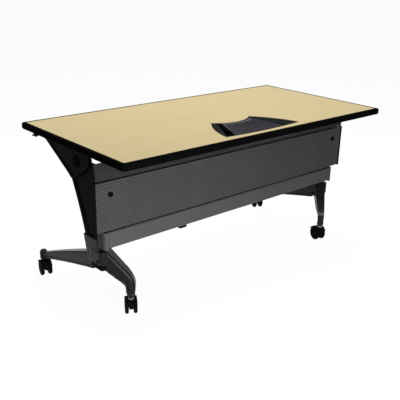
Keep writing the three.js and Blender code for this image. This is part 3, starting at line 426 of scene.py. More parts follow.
# The hood's roof, a curved shell over both treads
roof = cylinder(hood_radius, hood_width, 96, ends="NOTHING")
roof.data.transform(to_axle @ lie_down)
bpy.ops.object.mode_set(mode="EDIT")
pick("FACE", lambda middle, normal: normal.z < math.cos(hood_reach))
bpy.ops.mesh.delete(type="FACE")
bpy.ops.object.mode_set(mode="OBJECT")
finish_modifier(roof, "SOLIDIFY", thickness=hood_wall, offset=-1)
soften(roof, 0.0011)

# The fender between the wheels, round above the axle and drawn in below it
fender = cylinder(hood_radius - hood_wall / 2, web_width, 72)
fender.data.transform(to_axle @ lie_down)
bpy.ops.object.mode_set(mode="EDIT")
bpy.ops.mesh.select_all(action="SELECT")
bpy.ops.mesh.bisect(plane_co=(0, 0, wheel_radius), plane_no=(0, 0, -1), use_fill=True, clear_outer=True)
bpy.ops.object.mode_set(mode="OBJECT")
soften(fender, 0.0015)
keel = cylinder(keel_radius, web_width, 40)
keel.data.transform(to_axle @ lie_down)
soften(keel, 0.0015)
stem_boss_radius, stem_boss_height = web_width / 2 + 0.002, hood_top - wheel_radius
stem_boss = cylinder(stem_boss_radius, stem_boss_height, 40, (0, 0, (hood_top + wheel_radius) / 2))
round_edges(stem_boss, lambda middle, way: middle.z > hood_top - hair, 0.0015, 3)
hood = join("hood", [roof, fender, keel, stem_boss])

axle_radius, axle_length = 0.0035, 0.047
axle = cylinder(axle_radius, axle_length, 24)
axle.data.transform(to_axle @ lie_down)
soften(axle, 0.0008, 2)

# The stem, drawn out above and below from the collar that rests on the hood
collar_radius, collar_height, collar_middle = 0.012, 0.002, hood_top + 0.0013
stem_inset, stem_above, stem_below = 0.0065, 0.024, 0.020
stem = cylinder(collar_radius, collar_height, 32, (0, 0, collar_middle))
bpy.ops.object.mode_set(mode="EDIT")
pick("FACE", lambda middle, normal: abs(normal.z) > 0.9)
bpy.ops.mesh.inset(thickness=stem_inset)
pick("FACE", lambda middle, normal: normal.z > 0.9 and middle.xy.length < hair)
bpy.ops.mesh.extrude_region_move(TRANSFORM_OT_translate={"value": (0, 0, stem_above)})
pick("FACE", lambda middle, normal: normal.z < -0.9 and middle.xy.length < hair)
bpy.ops.mesh.extrude_region_move(TRANSFORM_OT_translate={"value": (0, 0, -stem_below)})
bpy.ops.object.mode_set(mode="OBJECT")

half_turn = Matrix.Rotation(math.pi, 4, "Z")
across = Matrix.Translation((-trail, 0, 0)) @ half_turn @ Matrix.Translation((trail, 0, 0))
for corner in ("panel_left", "panel_right", "user_left", "user_right"):
    roll_axis = Vector(joints[f"{corner}_roll_a"]["axis"])
    heading = math.atan2(-roll_axis.x, roll_axis.y)
    where = Vector(joints[f"{corner}_swivel"]["pos_m"])
    to_corner = Matrix.Translation((where.x, where.y, 0)) @ Matrix.Rotation(heading, 4, "Z")
    caster, turned = f"{corner}_caster", to_corner @ across
    for name, pattern, move, finish, slot, body, node in (
            ("nylon_hood", hood, to_corner, black_plastic, "black_plastic", caster, "hood"),
            ("steel_axle", axle, to_corner, zinc, "steel", caster, "axle"),
            ("steel_stem", stem, to_corner, zinc, "steel", "base", "stem"),
            ("tread_a", wheel, to_corner, wheel_nylon, "wheel_nylon", f"{corner}_wheel_a", "wheel_a"),
            ("tread_b", wheel, turned, wheel_nylon, "wheel_nylon", f"{corner}_wheel_b", "wheel_b")):
        settle(moved_copy(f"{caster}_{name}", pattern, move), finish, body, [f"{caster}_{node}"])
for pattern in (wheel, hood, axle, stem):
    bpy.data.objects.remove(pattern)


# The columns: flat aluminium castings that stand in the feet and carry the pivots at their heads.
# They are powder coated satin black, which leaves a faint orange peel a few millimetres across.
black_coat, tree = new_material("satin_black_powder_coat")
place = add_node(tree, "ShaderNodeTexCoord").outputs["Object"]
peel = add_node(tree, "ShaderNodeTexNoise", {"Vector": place, "Scale": 1 / 0.0025, "Detail": 1})
haze = add_node(tree, "ShaderNodeTexNoise", {"Vector": place, "Scale": 1 / 0.09, "Detail": 3})
tone = add_node(tree, "ShaderNodeMix", {
    "Factor": haze.outputs["Fac"], "A": linear("#11110f"), "B": linear("#1a1a18")}, data_type="RGBA")
gloss = add_node(tree, "ShaderNodeMapRange", {"Value": haze.outputs["Fac"], "To Min": 0.38, "To Max": 0.5})
skin = add_node(tree, "ShaderNodeBump", {"Height": peel.outputs["Fac"], "Strength": 0.1, "Distance": 0.0003})
surface = add_node(tree, "ShaderNodeBsdfPrincipled", {
    "Base Color": tone.outputs["Result"], "Roughness": gloss.outputs["Result"], "Specular IOR Level": 0.01,
    "Normal": skin.outputs["Normal"]})
add_node(tree, "ShaderNodeOutputMaterial", {"Surface": surface.outputs["BSDF"]})


def arc(middle, radius, start, end, count=24):
    """Points on an arc between two angles in degrees."""
    angles = [math.radians(start + (end - start) * i / count) for i in range(count + 1)]
    return [[middle[0] + radius * math.cos(angle), middle[1] + radius * math.sin(angle)] for angle in angles]


def plate(name, outlines, bottom, top, turn=Matrix()):
    """A flat drawing of closed outlines, the outer one first, raised between two heights and turned."""
    drawing = bpy.data.curves.new(name, "CURVE")
    drawing.dimensions = "2D"
    drawing.fill_mode = "BOTH"
    drawing.extrude = (top - bottom) / 2
    for outline in outlines:
        spline = drawing.splines.new("POLY")
        spline.points.add(len(outline) - 1)
        for point, (x, y) in zip(spline.points, outline):
            point.co = (x, y, 0, 1)
        spline.use_cyclic_u = True
    piece = bpy.data.objects.new(name, drawing)
    bpy.context.scene.collection.objects.link(piece)
    select_only(piece)
    bpy.ops.object.convert(target="MESH")
    piece.data.transform(turn @ Matrix.Translation((0, 0, (bottom + top) / 2)))
    bpy.ops.object.mode_set(mode="EDIT")
    bpy.ops.mesh.select_all(action="SELECT")
    bpy.ops.mesh.remove_doubles(threshold=1e-6)
    bpy.ops.mesh.dissolve_limited(angle_limit=math.radians(0.1))
    bpy.ops.mesh.normals_make_consistent(inside=False)
    bpy.ops.object.mode_set(mode="OBJECT")
    return piece


def disc(name, radius, start, end, middle, along="X"):
    """A round bar along X, Y or Z between two coordinates."""
    turns = {"X": Matrix.Rotation(math.pi / 2, 4, "Y"), "Z": Matrix(),
             "Y": Matrix.Rotation(-math.pi / 2, 4, "X")}
    piece = cylinder(radius, end - start, 48)
    piece.name = name
    place = Vector(middle)
    place["XYZ".index(along)] = (start + end) / 2
    piece.data.transform(Matrix.Translation(place) @ turns[along])
    return piece


def cut(piece, cutter):
    """Takes one piece out of another, and removes it."""
    finish_modifier(piece, "BOOLEAN", operation="DIFFERENCE", object=cutter, solver="EXACT")
    bpy.data.objects.remove(cutter)


lengthwise = Matrix(((0, 0, 1, 0), (1, 0, 0, 0), (0, 1, 0, 0), (0, 0, 0, 1)))
pivot = Vector(joints["flip"]["pos_m"])
column_low, column_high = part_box("right_column")
panel_low, panel_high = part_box("modesty_panel")
beam_low, beam_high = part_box("crossbeam")
heel = (0.067, pivot.z - 0.079)
root_front, root_rear, root_lean = -0.113, -0.043, -0.006
crown_radius, heel_angle, brow_drop = 0.038, -22.5, 0.002
socket_edge = 0.3343
outline = [(root_front, column_low.z)]
outline += bend((root_rear, column_low.z), (root_lean, (column_low.z + heel[1]) / 2), heel)
outline += arc(pivot.yz, crown_radius, heel_angle, 180)
outline += [(column_low.y, pivot.z - brow_drop), (column_low.y, panel_low.z), (socket_front, beam_high.z)]
outline += [(socket_front, socket_edge), (root_front, socket_edge)]
right_column = plate("right_cast_column", [outline], column_low.x, column_high.x, lengthwise)
flat_rim, sunk_wall = (0.017, 0), (0.002, -0.005)
inset_faces(right_column, lambda middle, normal: normal.x > 0.999, [flat_rim, sunk_wall])
soften(right_column, 0.0025)
pivot_boss_radius, pivot_bore = 0.035, 0.0112
boss = disc("boss", pivot_boss_radius, column_low.x + 0.004, column_high.x, pivot)
soften(boss, 0.002)
right_column = join("right_cast_column", [right_column, boss])
cut(right_column, disc("bore", pivot_bore, column_low.x - hair, column_high.x + hair, pivot))
settle_pair(right_column, black_coat, "column")


# The pivots: a headed steel pin at each end stands in a plated bush in the column's head, and the top turns
# on it. The pin's head shows outside the bracket, coated black, with a socket for its key.
pin_low, pin_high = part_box("right_pivot_pin")
pin_radius, head_radius, head_height, head_dome = 0.007, 0.015, 0.006, 0.003
key_radius = 0.0046
pin_seat = pin_high.x - head_height
shank = disc("shank", pin_radius, pin_low.x, pin_seat + hair, pivot)
head = disc("head", head_radius, pin_seat, pin_high.x, pivot)
round_edges(head, lambda middle, way: abs(way.x) < 0.1 and middle.x > pin_high.x - hair, head_dome, 4)
key_socket = cylinder(key_radius, head_height, 6)
to_head = Matrix.Translation((pin_high.x, pivot.y, pivot.z)) @ Matrix.Rotation(math.pi / 2, 4, "Y")
key_socket.data.transform(to_head)
cut(head, key_socket)
right_pin = join("right_headed_pin", [shank, head])
settle_pair(right_pin, black_coat, "pivot_pin")

bush_low, bush_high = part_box("right_pivot_bush")
bush_radius, bush_bore = 0.0109, 0.0074
right_bush = disc("right_turned_bush", bush_radius, bush_low.x, bush_high.x, pivot)
cut(right_bush, disc("bore", bush_bore, bush_low.x - hair, bush_high.x + hair, pivot))
soften(right_bush, 0.0004, 2)
settle_pair(right_bush, zinc, "pivot_bush")


# The crossbeam: a hollow aluminium extrusion between the feet, with a cast cap at each end in the same paint
# and a moulded cable clip below. The grey metallic paint follows the die lines that run along the beam, drawn
# 2 mm apart so that they show.
grey_paint, tree = new_material("metallic_grey_paint_on_extrusion")
place = add_node(tree, "ShaderNodeTexCoord").outputs["Object"]
die_way = add_node(tree, "ShaderNodeMapping", {"Vector": place, "Scale": (1 / 0.6, 1 / 0.002, 1 / 0.002)})
lines = add_node(tree, "ShaderNodeTexNoise", {"Vector": die_way.outputs["Vector"], "Scale": 1, "Detail": 3})
cloud = add_node(tree, "ShaderNodeTexNoise", {"Vector": place, "Scale": 1 / 0.15, "Detail": 3})
paint = add_node(tree, "ShaderNodeMix", {
    "Factor": cloud.outputs["Fac"], "A": linear("#535455"), "B": linear("#5d5e5f")}, data_type="RGBA")
sheen = add_node(tree, "ShaderNodeMapRange", {"Value": lines.outputs["Fac"], "To Min": 0.4, "To Max": 0.52})
skin = add_node(tree, "ShaderNodeBump", {
    "Height": lines.outputs["Fac"], "Strength": 0.08, "Distance": 0.0002})
surface = add_node(tree, "ShaderNodeBsdfPrincipled", {
    "Base Color": paint.outputs["Result"], "Metallic": 0.1, "Roughness": sheen.outputs["Result"],
    "Specular IOR Level": 0.015, "Normal": skin.outputs["Normal"]})
add_node(tree, "ShaderNodeOutputMaterial", {"Surface": surface.outputs["BSDF"]})


def rounded(left, right, bottom, top, radius, count=8):
    """A rectangle with round corners."""
    corners = [(right, bottom, -90), (right, top, 0), (left, top, 90), (left, bottom, 180)]
    outline = []
    for x, y, start in corners:
        inwards_x = math.copysign(radius, x - (left + right) / 2)
        inwards_y = math.copysign(radius, y - (bottom + top) / 2)
        outline += arc((x - inwards_x, y - inwards_y), radius, start, start + 90, count)
    return outline


wall, beam_corner, beam_end = 0.0035, 0.008, 0.692
outer = rounded(beam_low.y, beam_high.y, beam_low.z, beam_high.z, beam_corner)
inner = rounded(beam_low.y + wall, beam_high.y - wall, beam_low.z + wall, beam_high.z - wall,
                beam_corner - wall)
crossbeam = plate("painted_crossbeam", [outer, inner], -beam_end, beam_end, lengthwise)
settle(crossbeam, grey_paint, "base", ["crossbeam"])

cap_low, cap_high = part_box("right_beam_cap")
cap_gap, cap_corner, cap_edge, seam_edge = 0.0003, 0.016, 0.003, 0.002
cap_start, cap_middle = beam_end + cap_gap, (cap_low.y + cap_high.y) / 2
right_cap = slab("right_cast_cap", (cap_start, cap_low.y, cap_low.z), cap_high)
round_edges(right_cap, lambda middle, way: abs(way.z) > 0.9 and middle.x > cap_start + hair
            and middle.y < cap_middle, cap_corner, 12)
round_edges(right_cap, lambda middle, way: abs(way.z) < 0.1 and middle.x > cap_start + hair, cap_edge)
round_edges(right_cap, lambda middle, way: abs(way.x) < 0.1 and middle.x < cap_start + hair, seam_edge, 3)
settle_pair(right_cap, grey_paint, "beam_cap")


def softened_copy(name, node, width):
    """A copy of a CAD node as one connected mesh, with its edges rounded."""
    piece = bpy.data.objects.new(name, frame["nodes"][node].data.copy())
    bpy.context.scene.collection.objects.link(piece)
    select_only(piece)
    bpy.ops.mesh.customdata_custom_splitnormals_clear()
    bpy.ops.object.mode_set(mode="EDIT")
    bpy.ops.mesh.select_all(action="SELECT")
    bpy.ops.mesh.remove_doubles(threshold=1e-5)
    bpy.ops.mesh.dissolve_limited(angle_limit=math.radians(0.5))
    bpy.ops.object.mode_set(mode="OBJECT")
    soften(piece, width, 2)
    return piece


cable_clip = softened_copy("hooked_cable_clip", "beam_clip", 0.0005)
settle(cable_clip, black_plastic, "base", ["beam_clip"])


# The modesty panel: an extrusion with rounded ribs and narrow grooves, open to the rear, in the beam's paint.
# It has a black moulded cap on each end, and two black knobs screw it to the columns.
panel_ribs, rib_depth, sheet = 22, 0.0045, 0.002
seam_above, seam_below, flange = 0.003, 0.002, 0.010
rib_places = (0, 0.04, 0.1, 0.18, 0.28, 0.39, 0.5, 0.61, 0.72, 0.82, 0.9, 0.96)
panel_top, panel_bottom = panel_high.z - seam_above, panel_low.z + seam_below
rib_pitch = (panel_top - panel_bottom) / panel_ribs
valley = panel_low.y + rib_depth
outline = [(panel_high.y, panel_bottom)]
for i in range(panel_ribs):
    for u in rib_places:
        swell = math.sin(math.pi * u)
        outline.append((valley - rib_depth * swell, panel_bottom + (i + u) * rib_pitch))
flange_end = panel_high.y + flange
outline += [(valley, panel_top), (flange_end, panel_top), (flange_end, panel_top - sheet)]
outline += [(valley + sheet, panel_top - sheet), (valley + sheet, panel_bottom + sheet)]
outline += [(panel_high.y, panel_bottom + sheet)]
ribbed_panel = plate("ribbed_panel", [outline], panel_low.x, panel_high.x, lengthwise)
settle(ribbed_panel, grey_paint, "base", ["modesty_panel"], 50)

end_low, end_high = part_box("right_panel_end")
end_width, end_corner = 0.014, 0.006
right_end = slab("right_panel_cap", (end_high.x - end_width, end_low.y, end_low.z), end_high)
round_edges(right_end, lambda middle, way: abs(way.z) > 0.9 and middle.x > end_high.x - hair, end_corner, 6)
soften(right_end, 0.0015)
settle_pair(right_end, black_plastic, "panel_end")

knob_low, knob_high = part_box("right_panel_knob")
knob_middle = (knob_low + knob_high) / 2
knob_radius, knob_height, knob_edge = 0.0105, 0.006, 0.002
knob_land, dimple_wall, screw_radius = (0.0042, 0), (0.0004, -0.0016), 0.003
knob_head = disc("knob_head", knob_radius, knob_low.y, knob_low.y + knob_height, knob_middle, "Y")
inset_faces(knob_head, lambda middle, normal: normal.y < -0.999, [knob_land, dimple_wall])
round_edges(knob_head, lambda middle, way: abs(way.y) < 0.1 and middle.y < knob_low.y + hair
            and (middle - knob_middle).xz.length > knob_radius - hair, knob_edge, 4)
knob_screw = disc("knob_screw", screw_radius, knob_low.y + 0.004, knob_high.y, knob_middle, "Y")
right_knob = join("right_fixing_knob", [knob_head, knob_screw])
settle_pair(right_knob, black_plastic, "panel_knob")


# The upper rail: a plain aluminium extrusion above the panel, fixed to the columns, that leans back at its
# top. It has the panel's paint, darkened all over as painted shade for the shadow of the board's overhang.
painted_shade_rail_paint = grey_paint.copy()
painted_shade_rail_paint.name = "grey_paint_darkened_as_painted_shade"
painted_shade_rail_tones = painted_shade_rail_paint.node_tree.nodes["Mix"].inputs
# These darker tones are painted shade: the rail's paint is really the panel's grey
painted_shade_rail_tones["A"].default_value = linear("#2f3031")
painted_shade_rail_tones["B"].default_value = linear("#373839")
rail_low, rail_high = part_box("upper_rail")
rail_rise, rail_lean, rail_sheet, rail_gap, belly_share = 0.004, 0.012, 0.004, 0.012, 0.6
rail_top = rail_high.z + rail_rise
belly = rail_low.z + belly_share * (rail_high.z - rail_low.z)
inside = rail_low.y + rail_sheet
outline = [(rail_high.y, rail_low.z)]
outline += bend((rail_low.y, rail_low.z), (rail_low.y, belly), (rail_low.y + rail_lean, rail_top))
outline += bend((rail_low.y + rail_lean + rail_sheet, rail_top - rail_sheet / 2), (inside, belly),
                (inside, rail_low.z + rail_sheet))
outline += [(rail_high.y, rail_low.z + rail_sheet)]
curved_rail = plate("curved_rail", [outline], rail_low.x + rail_gap, rail_high.x - rail_gap, lengthwise)
settle(curved_rail, painted_shade_rail_paint, "base", ["upper_rail"])


# The top brackets: black coated castings, screwed under the board, that turn on the pins. Each carries a lock
# in a moulded box, and a steel rod leads from that lock to a moulded paddle under the user's edge.
for side in ("left", "right"):
    for name, node, edge, finish, slot, body in (
            ("cast_bracket", "top_bracket", 0.0012, black_coat, "black_paint", "top"),
            ("lock_box", "lock_housing", 0.0012, black_plastic, "black_plastic", "top"),
            ("paddle_carrier", "paddle_block", 0.0008, black_plastic, "black_plastic", "top"),
            ("squeeze_paddle", "release_paddle", 0.0008, black_plastic, "black_plastic", f"{side}_paddle"),
            ("pull_rod", "release_rod", 0.0003, zinc, "steel", f"{side}_rod")):
        piece = softened_copy(f"{side}_{name}", f"{side}_{node}", edge)
        settle(piece, finish, body, [f"{side}_{node}"])

# Pan-head screws with a cross recess hold the flanges and the paddle blocks to the board
pan_radius, pan_height, pan_dome = 0.0055, 0.0034, 0.0026
slot_reach, slot_half, slot_start, slot_floor = 0.0032, 0.0006, -0.004, -0.002
screw = disc("screw", pan_radius, -pan_height, 0, (0, 0, 0), "Z")
round_edges(screw, lambda middle, way: abs(way.z) < 0.1 and middle.z < -pan_height / 2, pan_dome, 5)
cut(screw, slab("slot", (-slot_reach, -slot_half, slot_start), (slot_reach, slot_half, slot_floor)))
cut(screw, slab("slot", (-slot_half, -slot_reach, slot_start), (slot_half, slot_reach, slot_floor)))
flange_thickness = 0.005
flange_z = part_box("right_paddle_block")[1].z - flange_thickness
paddle_y = joints["right_paddle_squeeze"]["pos_m"][1]
screw_places = [(x, y) for x in (0.640, 0.734) for y in (-0.070, 0.115, 0.270)]
screw_places += [(0.662, paddle_y), (0.706, paddle_y)]
screws = []
for x, y in screw_places:
    for sign in (-1, 1):
        screws.append(moved_copy("board_screw", screw, Matrix.Translation((sign * x, y, flange_z))))
settle(join("bracket_screws", screws), zinc, "top")
bpy.data.objects.remove(screw)


# The worktop: a particle board pressed between a satin laminate with a maple pattern and a dark backing.
# The figure runs along the table and is faint: long streaks about 12 mm apart, and pores a tenth as wide.
laminate, tree = new_material("maple_pattern_laminate")
place = add_node(tree, "ShaderNodeTexCoord").outputs["Object"]
stretch = add_node(tree, "ShaderNodeMapping", {"Vector": place, "Scale": (1 / 0.35, 1 / 0.012, 1 / 0.012)})
streaks = add_node(tree, "ShaderNodeTexNoise", {"Vector": stretch.outputs["Vector"], "Scale": 1, "Detail": 4})
pore_way = add_node(tree, "ShaderNodeMapping", {"Vector": place, "Scale": (1 / 0.03, 1 / 0.0012, 1 / 0.0012)})
pores = add_node(tree, "ShaderNodeTexNoise", {"Vector": pore_way.outputs["Vector"], "Scale": 1, "Detail": 2})
figure = add_node(tree, "ShaderNodeMix", {
    "Factor": streaks.outputs["Fac"], "A": linear("#d3bd84"), "B": linear("#e0cd9a")}, data_type="RGBA")
flecks = add_node(tree, "ShaderNodeMapRange", {
    "Value": pores.outputs["Fac"], "From Min": 0.55, "From Max": 0.8, "To Min": 0, "To Max": 0.25})
grain = add_node(tree, "ShaderNodeMix", {
    "Factor": flecks.outputs["Result"], "A": figure.outputs["Result"], "B": linear("#c3a869")},
    data_type="RGBA")
satin = add_node(tree, "ShaderNodeMapRange", {"Value": pores.outputs["Fac"], "To Min": 0.4, "To Max": 0.52})
tooth = add_node(tree, "ShaderNodeBump", {
    "Height": pores.outputs["Fac"], "Strength": 0.05, "Distance": 0.0002})
top_low, top_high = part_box("worktop")
board_z = add_node(tree, "ShaderNodeSeparateXYZ", {"Vector": place}).outputs["Z"]
below = add_node(tree, "ShaderNodeMath", {0: board_z, 1: top_low.z + hair}, operation="LESS_THAN")
faces = add_node(tree, "ShaderNodeMix", {
    "Factor": below.outputs["Value"], "A": grain.outputs["Result"], "B": linear("#3a3632")}, data_type="RGBA")
surface = add_node(tree, "ShaderNodeBsdfPrincipled", {
    "Base Color": faces.outputs["Result"], "Roughness": satin.outputs["Result"], "Specular IOR Level": 0.2,
    "Normal": tooth.outputs["Normal"]})
add_node(tree, "ShaderNodeOutputMaterial", {"Surface": surface.outputs["BSDF"]})

band_low, band_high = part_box("edge_band")
band_width, board_corner = 0.016, 0.006
half_x, half_y = band_high.x - band_width, band_high.y - band_width
port_hole, rebate_depth, rebate_gap = 0.003, 0.0015, 0.0003


def circle_through(a, b, sag):
    """The middle and radius of the circle through two points whose arc stands off their chord by sag."""
    chord = b - a
    half = chord.length / 2
    radius = (half * half + sag * sag) / (2 * abs(sag))
    left = Vector((-chord.y, chord.x)).normalized()
    return (a + b) / 2 + left * (sag - math.copysign(radius, sag)), radius


def between(circle, start, end, count=24):
    """Points on a circle from one point to another, the short way round."""
    middle, radius = circle
    first, last = (math.degrees(math.atan2(point.y - middle.y, point.x - middle.x)) for point in (start, end))
    return arc(middle, radius, first, first + (last - first + 180) % 360 - 180, count)


def flipped(point):
    """The same place on the other half of the port."""
    return Vector((-point.x, point.y))


front_tip, rear_tip = Vector((0.114, -0.116)), Vector((0.221, -0.325))
front_sag, rear_sag, side_sag = -0.044, -0.012, 0.017
front_middle, front_radius = circle_through(flipped(front_tip), front_tip, front_sag)
rear_middle, rear_radius = circle_through(flipped(rear_tip), rear_tip, rear_sag)
side_middle, side_radius = circle_through(front_tip, rear_tip, side_sag)


def fan(inwards, side_inwards=None):
    """The port's outline, with a hollow front edge and swollen sides and rear, drawn in by a distance."""
    front, rear = (front_middle, front_radius + inwards), (rear_middle, rear_radius - inwards)
    side = (side_middle, side_radius - (inwards if side_inwards is None else side_inwards))
    corners = []
    for edge, tip in ((front, front_tip), (rear, rear_tip)):
        corners.append(min(intersect_sphere_sphere_2d(*edge, *side), key=lambda point: (point - tip).length))
    right = between(side, corners[1], corners[0])
    left = [(-x, y) for x, y in reversed(right)]
    rear_edge = between(rear, flipped(corners[1]), corners[1])
    return rear_edge + right + between(front, corners[0], flipped(corners[0])) + left, corners


board_outline = rounded(-half_x, half_x, -half_y, half_y, board_corner)
board = plate("laminate_board", [board_outline, fan(port_hole)[0]], top_low.z, top_high.z)
cut(board, plate("rebate", [fan(-rebate_gap)[0]], top_high.z - rebate_depth, top_high.z + hair))
settle(board, laminate, "top", ["worktop"])


# The edge band: a black vinyl extrusion with rounded edges, pressed round the board and bent at its corners.
# It is smoother than the moulded parts, with 20 mm scuffs that dull it.
edge_vinyl, tree = new_material("extruded_black_vinyl")
place = add_node(tree, "ShaderNodeTexCoord").outputs["Object"]
scuff = add_node(tree, "ShaderNodeTexNoise", {
    "Vector": place, "Scale": 1 / 0.02, "Detail": 5, "Roughness": 0.6})
tone = add_node(tree, "ShaderNodeMix", {
    "Factor": scuff.outputs["Fac"], "A": linear("#070707"), "B": linear("#0f0f0f")}, data_type="RGBA")
dull = add_node(tree, "ShaderNodeMapRange", {"Value": scuff.outputs["Fac"], "To Min": 0.35, "To Max": 0.5})
surface = add_node(tree, "ShaderNodeBsdfPrincipled", {
    "Base Color": tone.outputs["Result"], "Roughness": dull.outputs["Result"], "Specular IOR Level": 0.001})
add_node(tree, "ShaderNodeOutputMaterial", {"Surface": surface.outputs["BSDF"]})

band_corner, band_round, band_proud = 0.013, 0.009, 0.001
outer = rounded(band_low.x, band_high.x, band_low.y, band_high.y, band_corner, 12)
inner = rounded(-half_x, half_x, -half_y, half_y, board_corner, 12)
band = plate("rounded_band", [outer], band_low.z, band_high.z + band_proud)
round_edges(band, lambda middle, way: abs(way.z) < 0.1, band_round, 8)
cut(band, plate("board_space", [inner], band_low.z - hair, band_high.z + hair))
settle(band, edge_vinyl, "top", ["edge_band"])


# The cable port: a black frame let into the board, a lid with radial ribs that lifts about its rear edge, and
# a pan below with two holes for cables. Lid and pan are moulded ABS, bluish charcoal with a dull grain that
# is drawn 1.5 mm wide so that it shows.
port_plastic, tree = new_material("charcoal_abs")
place = add_node(tree, "ShaderNodeTexCoord").outputs["Object"]
grain = add_node(tree, "ShaderNodeTexNoise", {"Vector": place, "Scale": 1 / 0.0015, "Detail": 2})
wipe = add_node(tree, "ShaderNodeTexNoise", {"Vector": place, "Scale": 1 / 0.05, "Detail": 3})
tone = add_node(tree, "ShaderNodeMix", {
    "Factor": wipe.outputs["Fac"], "A": linear("#23242c"), "B": linear("#31323c")}, data_type="RGBA")
dull = add_node(tree, "ShaderNodeMapRange", {"Value": wipe.outputs["Fac"], "To Min": 0.36, "To Max": 0.5})
bumps = add_node(tree, "ShaderNodeBump", {
    "Height": grain.outputs["Fac"], "Strength": 0.15, "Distance": 0.0002})
surface = add_node(tree, "ShaderNodeBsdfPrincipled", {
    "Base Color": tone.outputs["Result"], "Roughness": dull.outputs["Result"], "Specular IOR Level": 0.15,
    "Normal": bumps.outputs["Normal"]})
add_node(tree, "ShaderNodeOutputMaterial", {"Surface": surface.outputs["BSDF"]})


def at_rear(rear, half):
    """The right corner of a rear edge of a given half length."""
    return Vector((half, rear[0].y - math.sqrt(rear[1] ** 2 - half ** 2)))


def straight_sided(front, front_corner, rear, rear_half):
    """A fan with straight sides between a hollow front edge and a swollen rear edge."""
    rear_corner = at_rear(rear, rear_half)
    rear_edge = between(rear, flipped(rear_corner), rear_corner)
    return rear_edge + between(front, front_corner, flipped(front_corner))


port_low, port_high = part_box("port_bezel")
lip_top, lip_height, skirt_wall = port_high.z, 0.002, 0.002
end_rim, side_rim, mouth_half, lid_gap = 0.008, 0.022, 0.210, 0.0015
skirt_outside = port_hole + rebate_gap
mouth_front, mouth_rear = (front_middle, front_radius + end_rim), (rear_middle, rear_radius - end_rim)
mouth_corner = fan(end_rim, side_rim)[1][0]
mouth = straight_sided(mouth_front, mouth_corner, mouth_rear, mouth_half)
lip = plate("lip", [fan(0)[0], mouth], lip_top - lip_height, lip_top)
soften(lip, 0.0006)
skirt_outlines = [fan(skirt_outside)[0], fan(skirt_outside + skirt_wall)[0]]
skirt = plate("skirt", skirt_outlines, port_low.z, lip_top - lip_height / 2)
settle(join("port_frame", [lip, skirt]), black_plastic, "top", ["port_bezel"])

# Inside the mouth, a sloping cheek at each end leads cables down into the pan
cheek_depth, cheek_slope, cheek_back, cheek_gap = 0.012, 0.006, 0.002, 0.002
cheek_section = [(0, 0), (-cheek_slope, -cheek_depth), (cheek_back, -cheek_depth), (cheek_back, 0)]
mouth_side = at_rear(mouth_rear, mouth_half) - mouth_corner
side_way = mouth_side.normalized()
outwards = Vector((-side_way.y, side_way.x))
cheek_turn = Matrix(((outwards.x, 0, side_way.x, mouth_corner.x), (outwards.y, 0, side_way.y, mouth_corner.y),
                     (0, 1, 0, lip_top - lip_height / 2), (0, 0, 0, 1)))
right_cheek = plate("right_cheek", [cheek_section], cheek_gap, mouth_side.length - cheek_gap, cheek_turn)
left_cheek = moved_copy("left_cheek", right_cheek, mirror)
settle(join("port_cheeks", [right_cheek, left_cheek]), port_plastic, "top")
settle(softened_copy("port_pan", "port_well", 0.0005), port_plastic, "top", ["port_well"])
hinge_low, hinge_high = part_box("lid_pin")
hinge = Vector(joints["lid_lift"]["pos_m"])
hinge_radius = 0.0025
hinge_pin = disc("lid_hinge_pin", hinge_radius, hinge_low.x, hinge_high.x, hinge)
soften(hinge_pin, 0.0005, 2)
settle(hinge_pin, zinc, "top", ["lid_pin"])

# The lid lies flat while it is made, with its hinge at height 0
barrel, splay, rear_half = 0.0049, math.radians(28.5), 0.150
cover_thickness, barrel_gap, barrel_bore, lid_rise = 0.003, 0.006, 0.0029, 0.011
lid_front = (front_middle, mouth_front[1] + lid_gap)
lid_rear = (rear_middle, mouth_rear[1] - lid_gap)
lid_corner = front_middle + Vector((math.sin(splay), -math.cos(splay))) * lid_front[1]
cover_outline = straight_sided(lid_front, lid_corner, lid_rear, rear_half)
cover = plate("cover", [cover_outline], barrel - cover_thickness, barrel)
soften(cover, 0.0005, 2)
knuckle = disc("knuckle", barrel, barrel_gap - rear_half, rear_half - barrel_gap, (0, hinge.y, 0))
cut(knuckle, disc("bore", barrel_bore, -rear_half, rear_half, (0, hinge.y, 0)))

# The ribs spread along the rays of the front edge's arc and widen towards the rear
lid_ribs, rib_half, rib_height, rib_widening = 21, 0.0015, 0.0038, 2.0
rear_clear, front_clear, rib_root = 0.007, 0.020, 0.0003
rib_splay = math.atan2(rear_half, front_middle.y - at_rear(lid_rear, rear_half).y)
parts = [cover, knuckle]
for i in range(lid_ribs):
    angle = rib_splay * ((2 * i + 1) / lid_ribs - 1)
    ray = Vector((math.sin(angle), -math.cos(angle)))
    aside = (front_middle - rear_middle).dot(ray)
    reach = math.sqrt(aside ** 2 - (front_middle - rear_middle).length_squared + lid_rear[1] ** 2) - aside
    rib_rear, rib_front = rear_clear - reach, -lid_front[1] - front_clear
    rib = slab("rib", (-rib_half, rib_rear, barrel - rib_root), (rib_half, rib_front, barrel + rib_height))
    bpy.ops.object.mode_set(mode="EDIT")
    pick("VERT", lambda point, normal: point.y < rib_rear + hair)
    bpy.ops.transform.resize(value=(rib_widening, 1, 1))
    bpy.ops.object.mode_set(mode="OBJECT")
    soften(rib, 0.0007, 2)
    rib.data.transform(Matrix.Translation((0, front_middle.y, 0)) @ Matrix.Rotation(angle, 4, "Z"))
    parts.append(rib)
lid = join("ribbed_lid", parts)
tilt = Matrix.Rotation(math.atan2(lid_rise, front_middle.y - lid_front[1] - hinge.y), 4, "X")
lid.data.transform(Matrix.Translation(hinge) @ tilt @ Matrix.Translation((0, -hinge.y, 0)))
settle(lid, port_plastic, "port_lid", ["port_lid"])


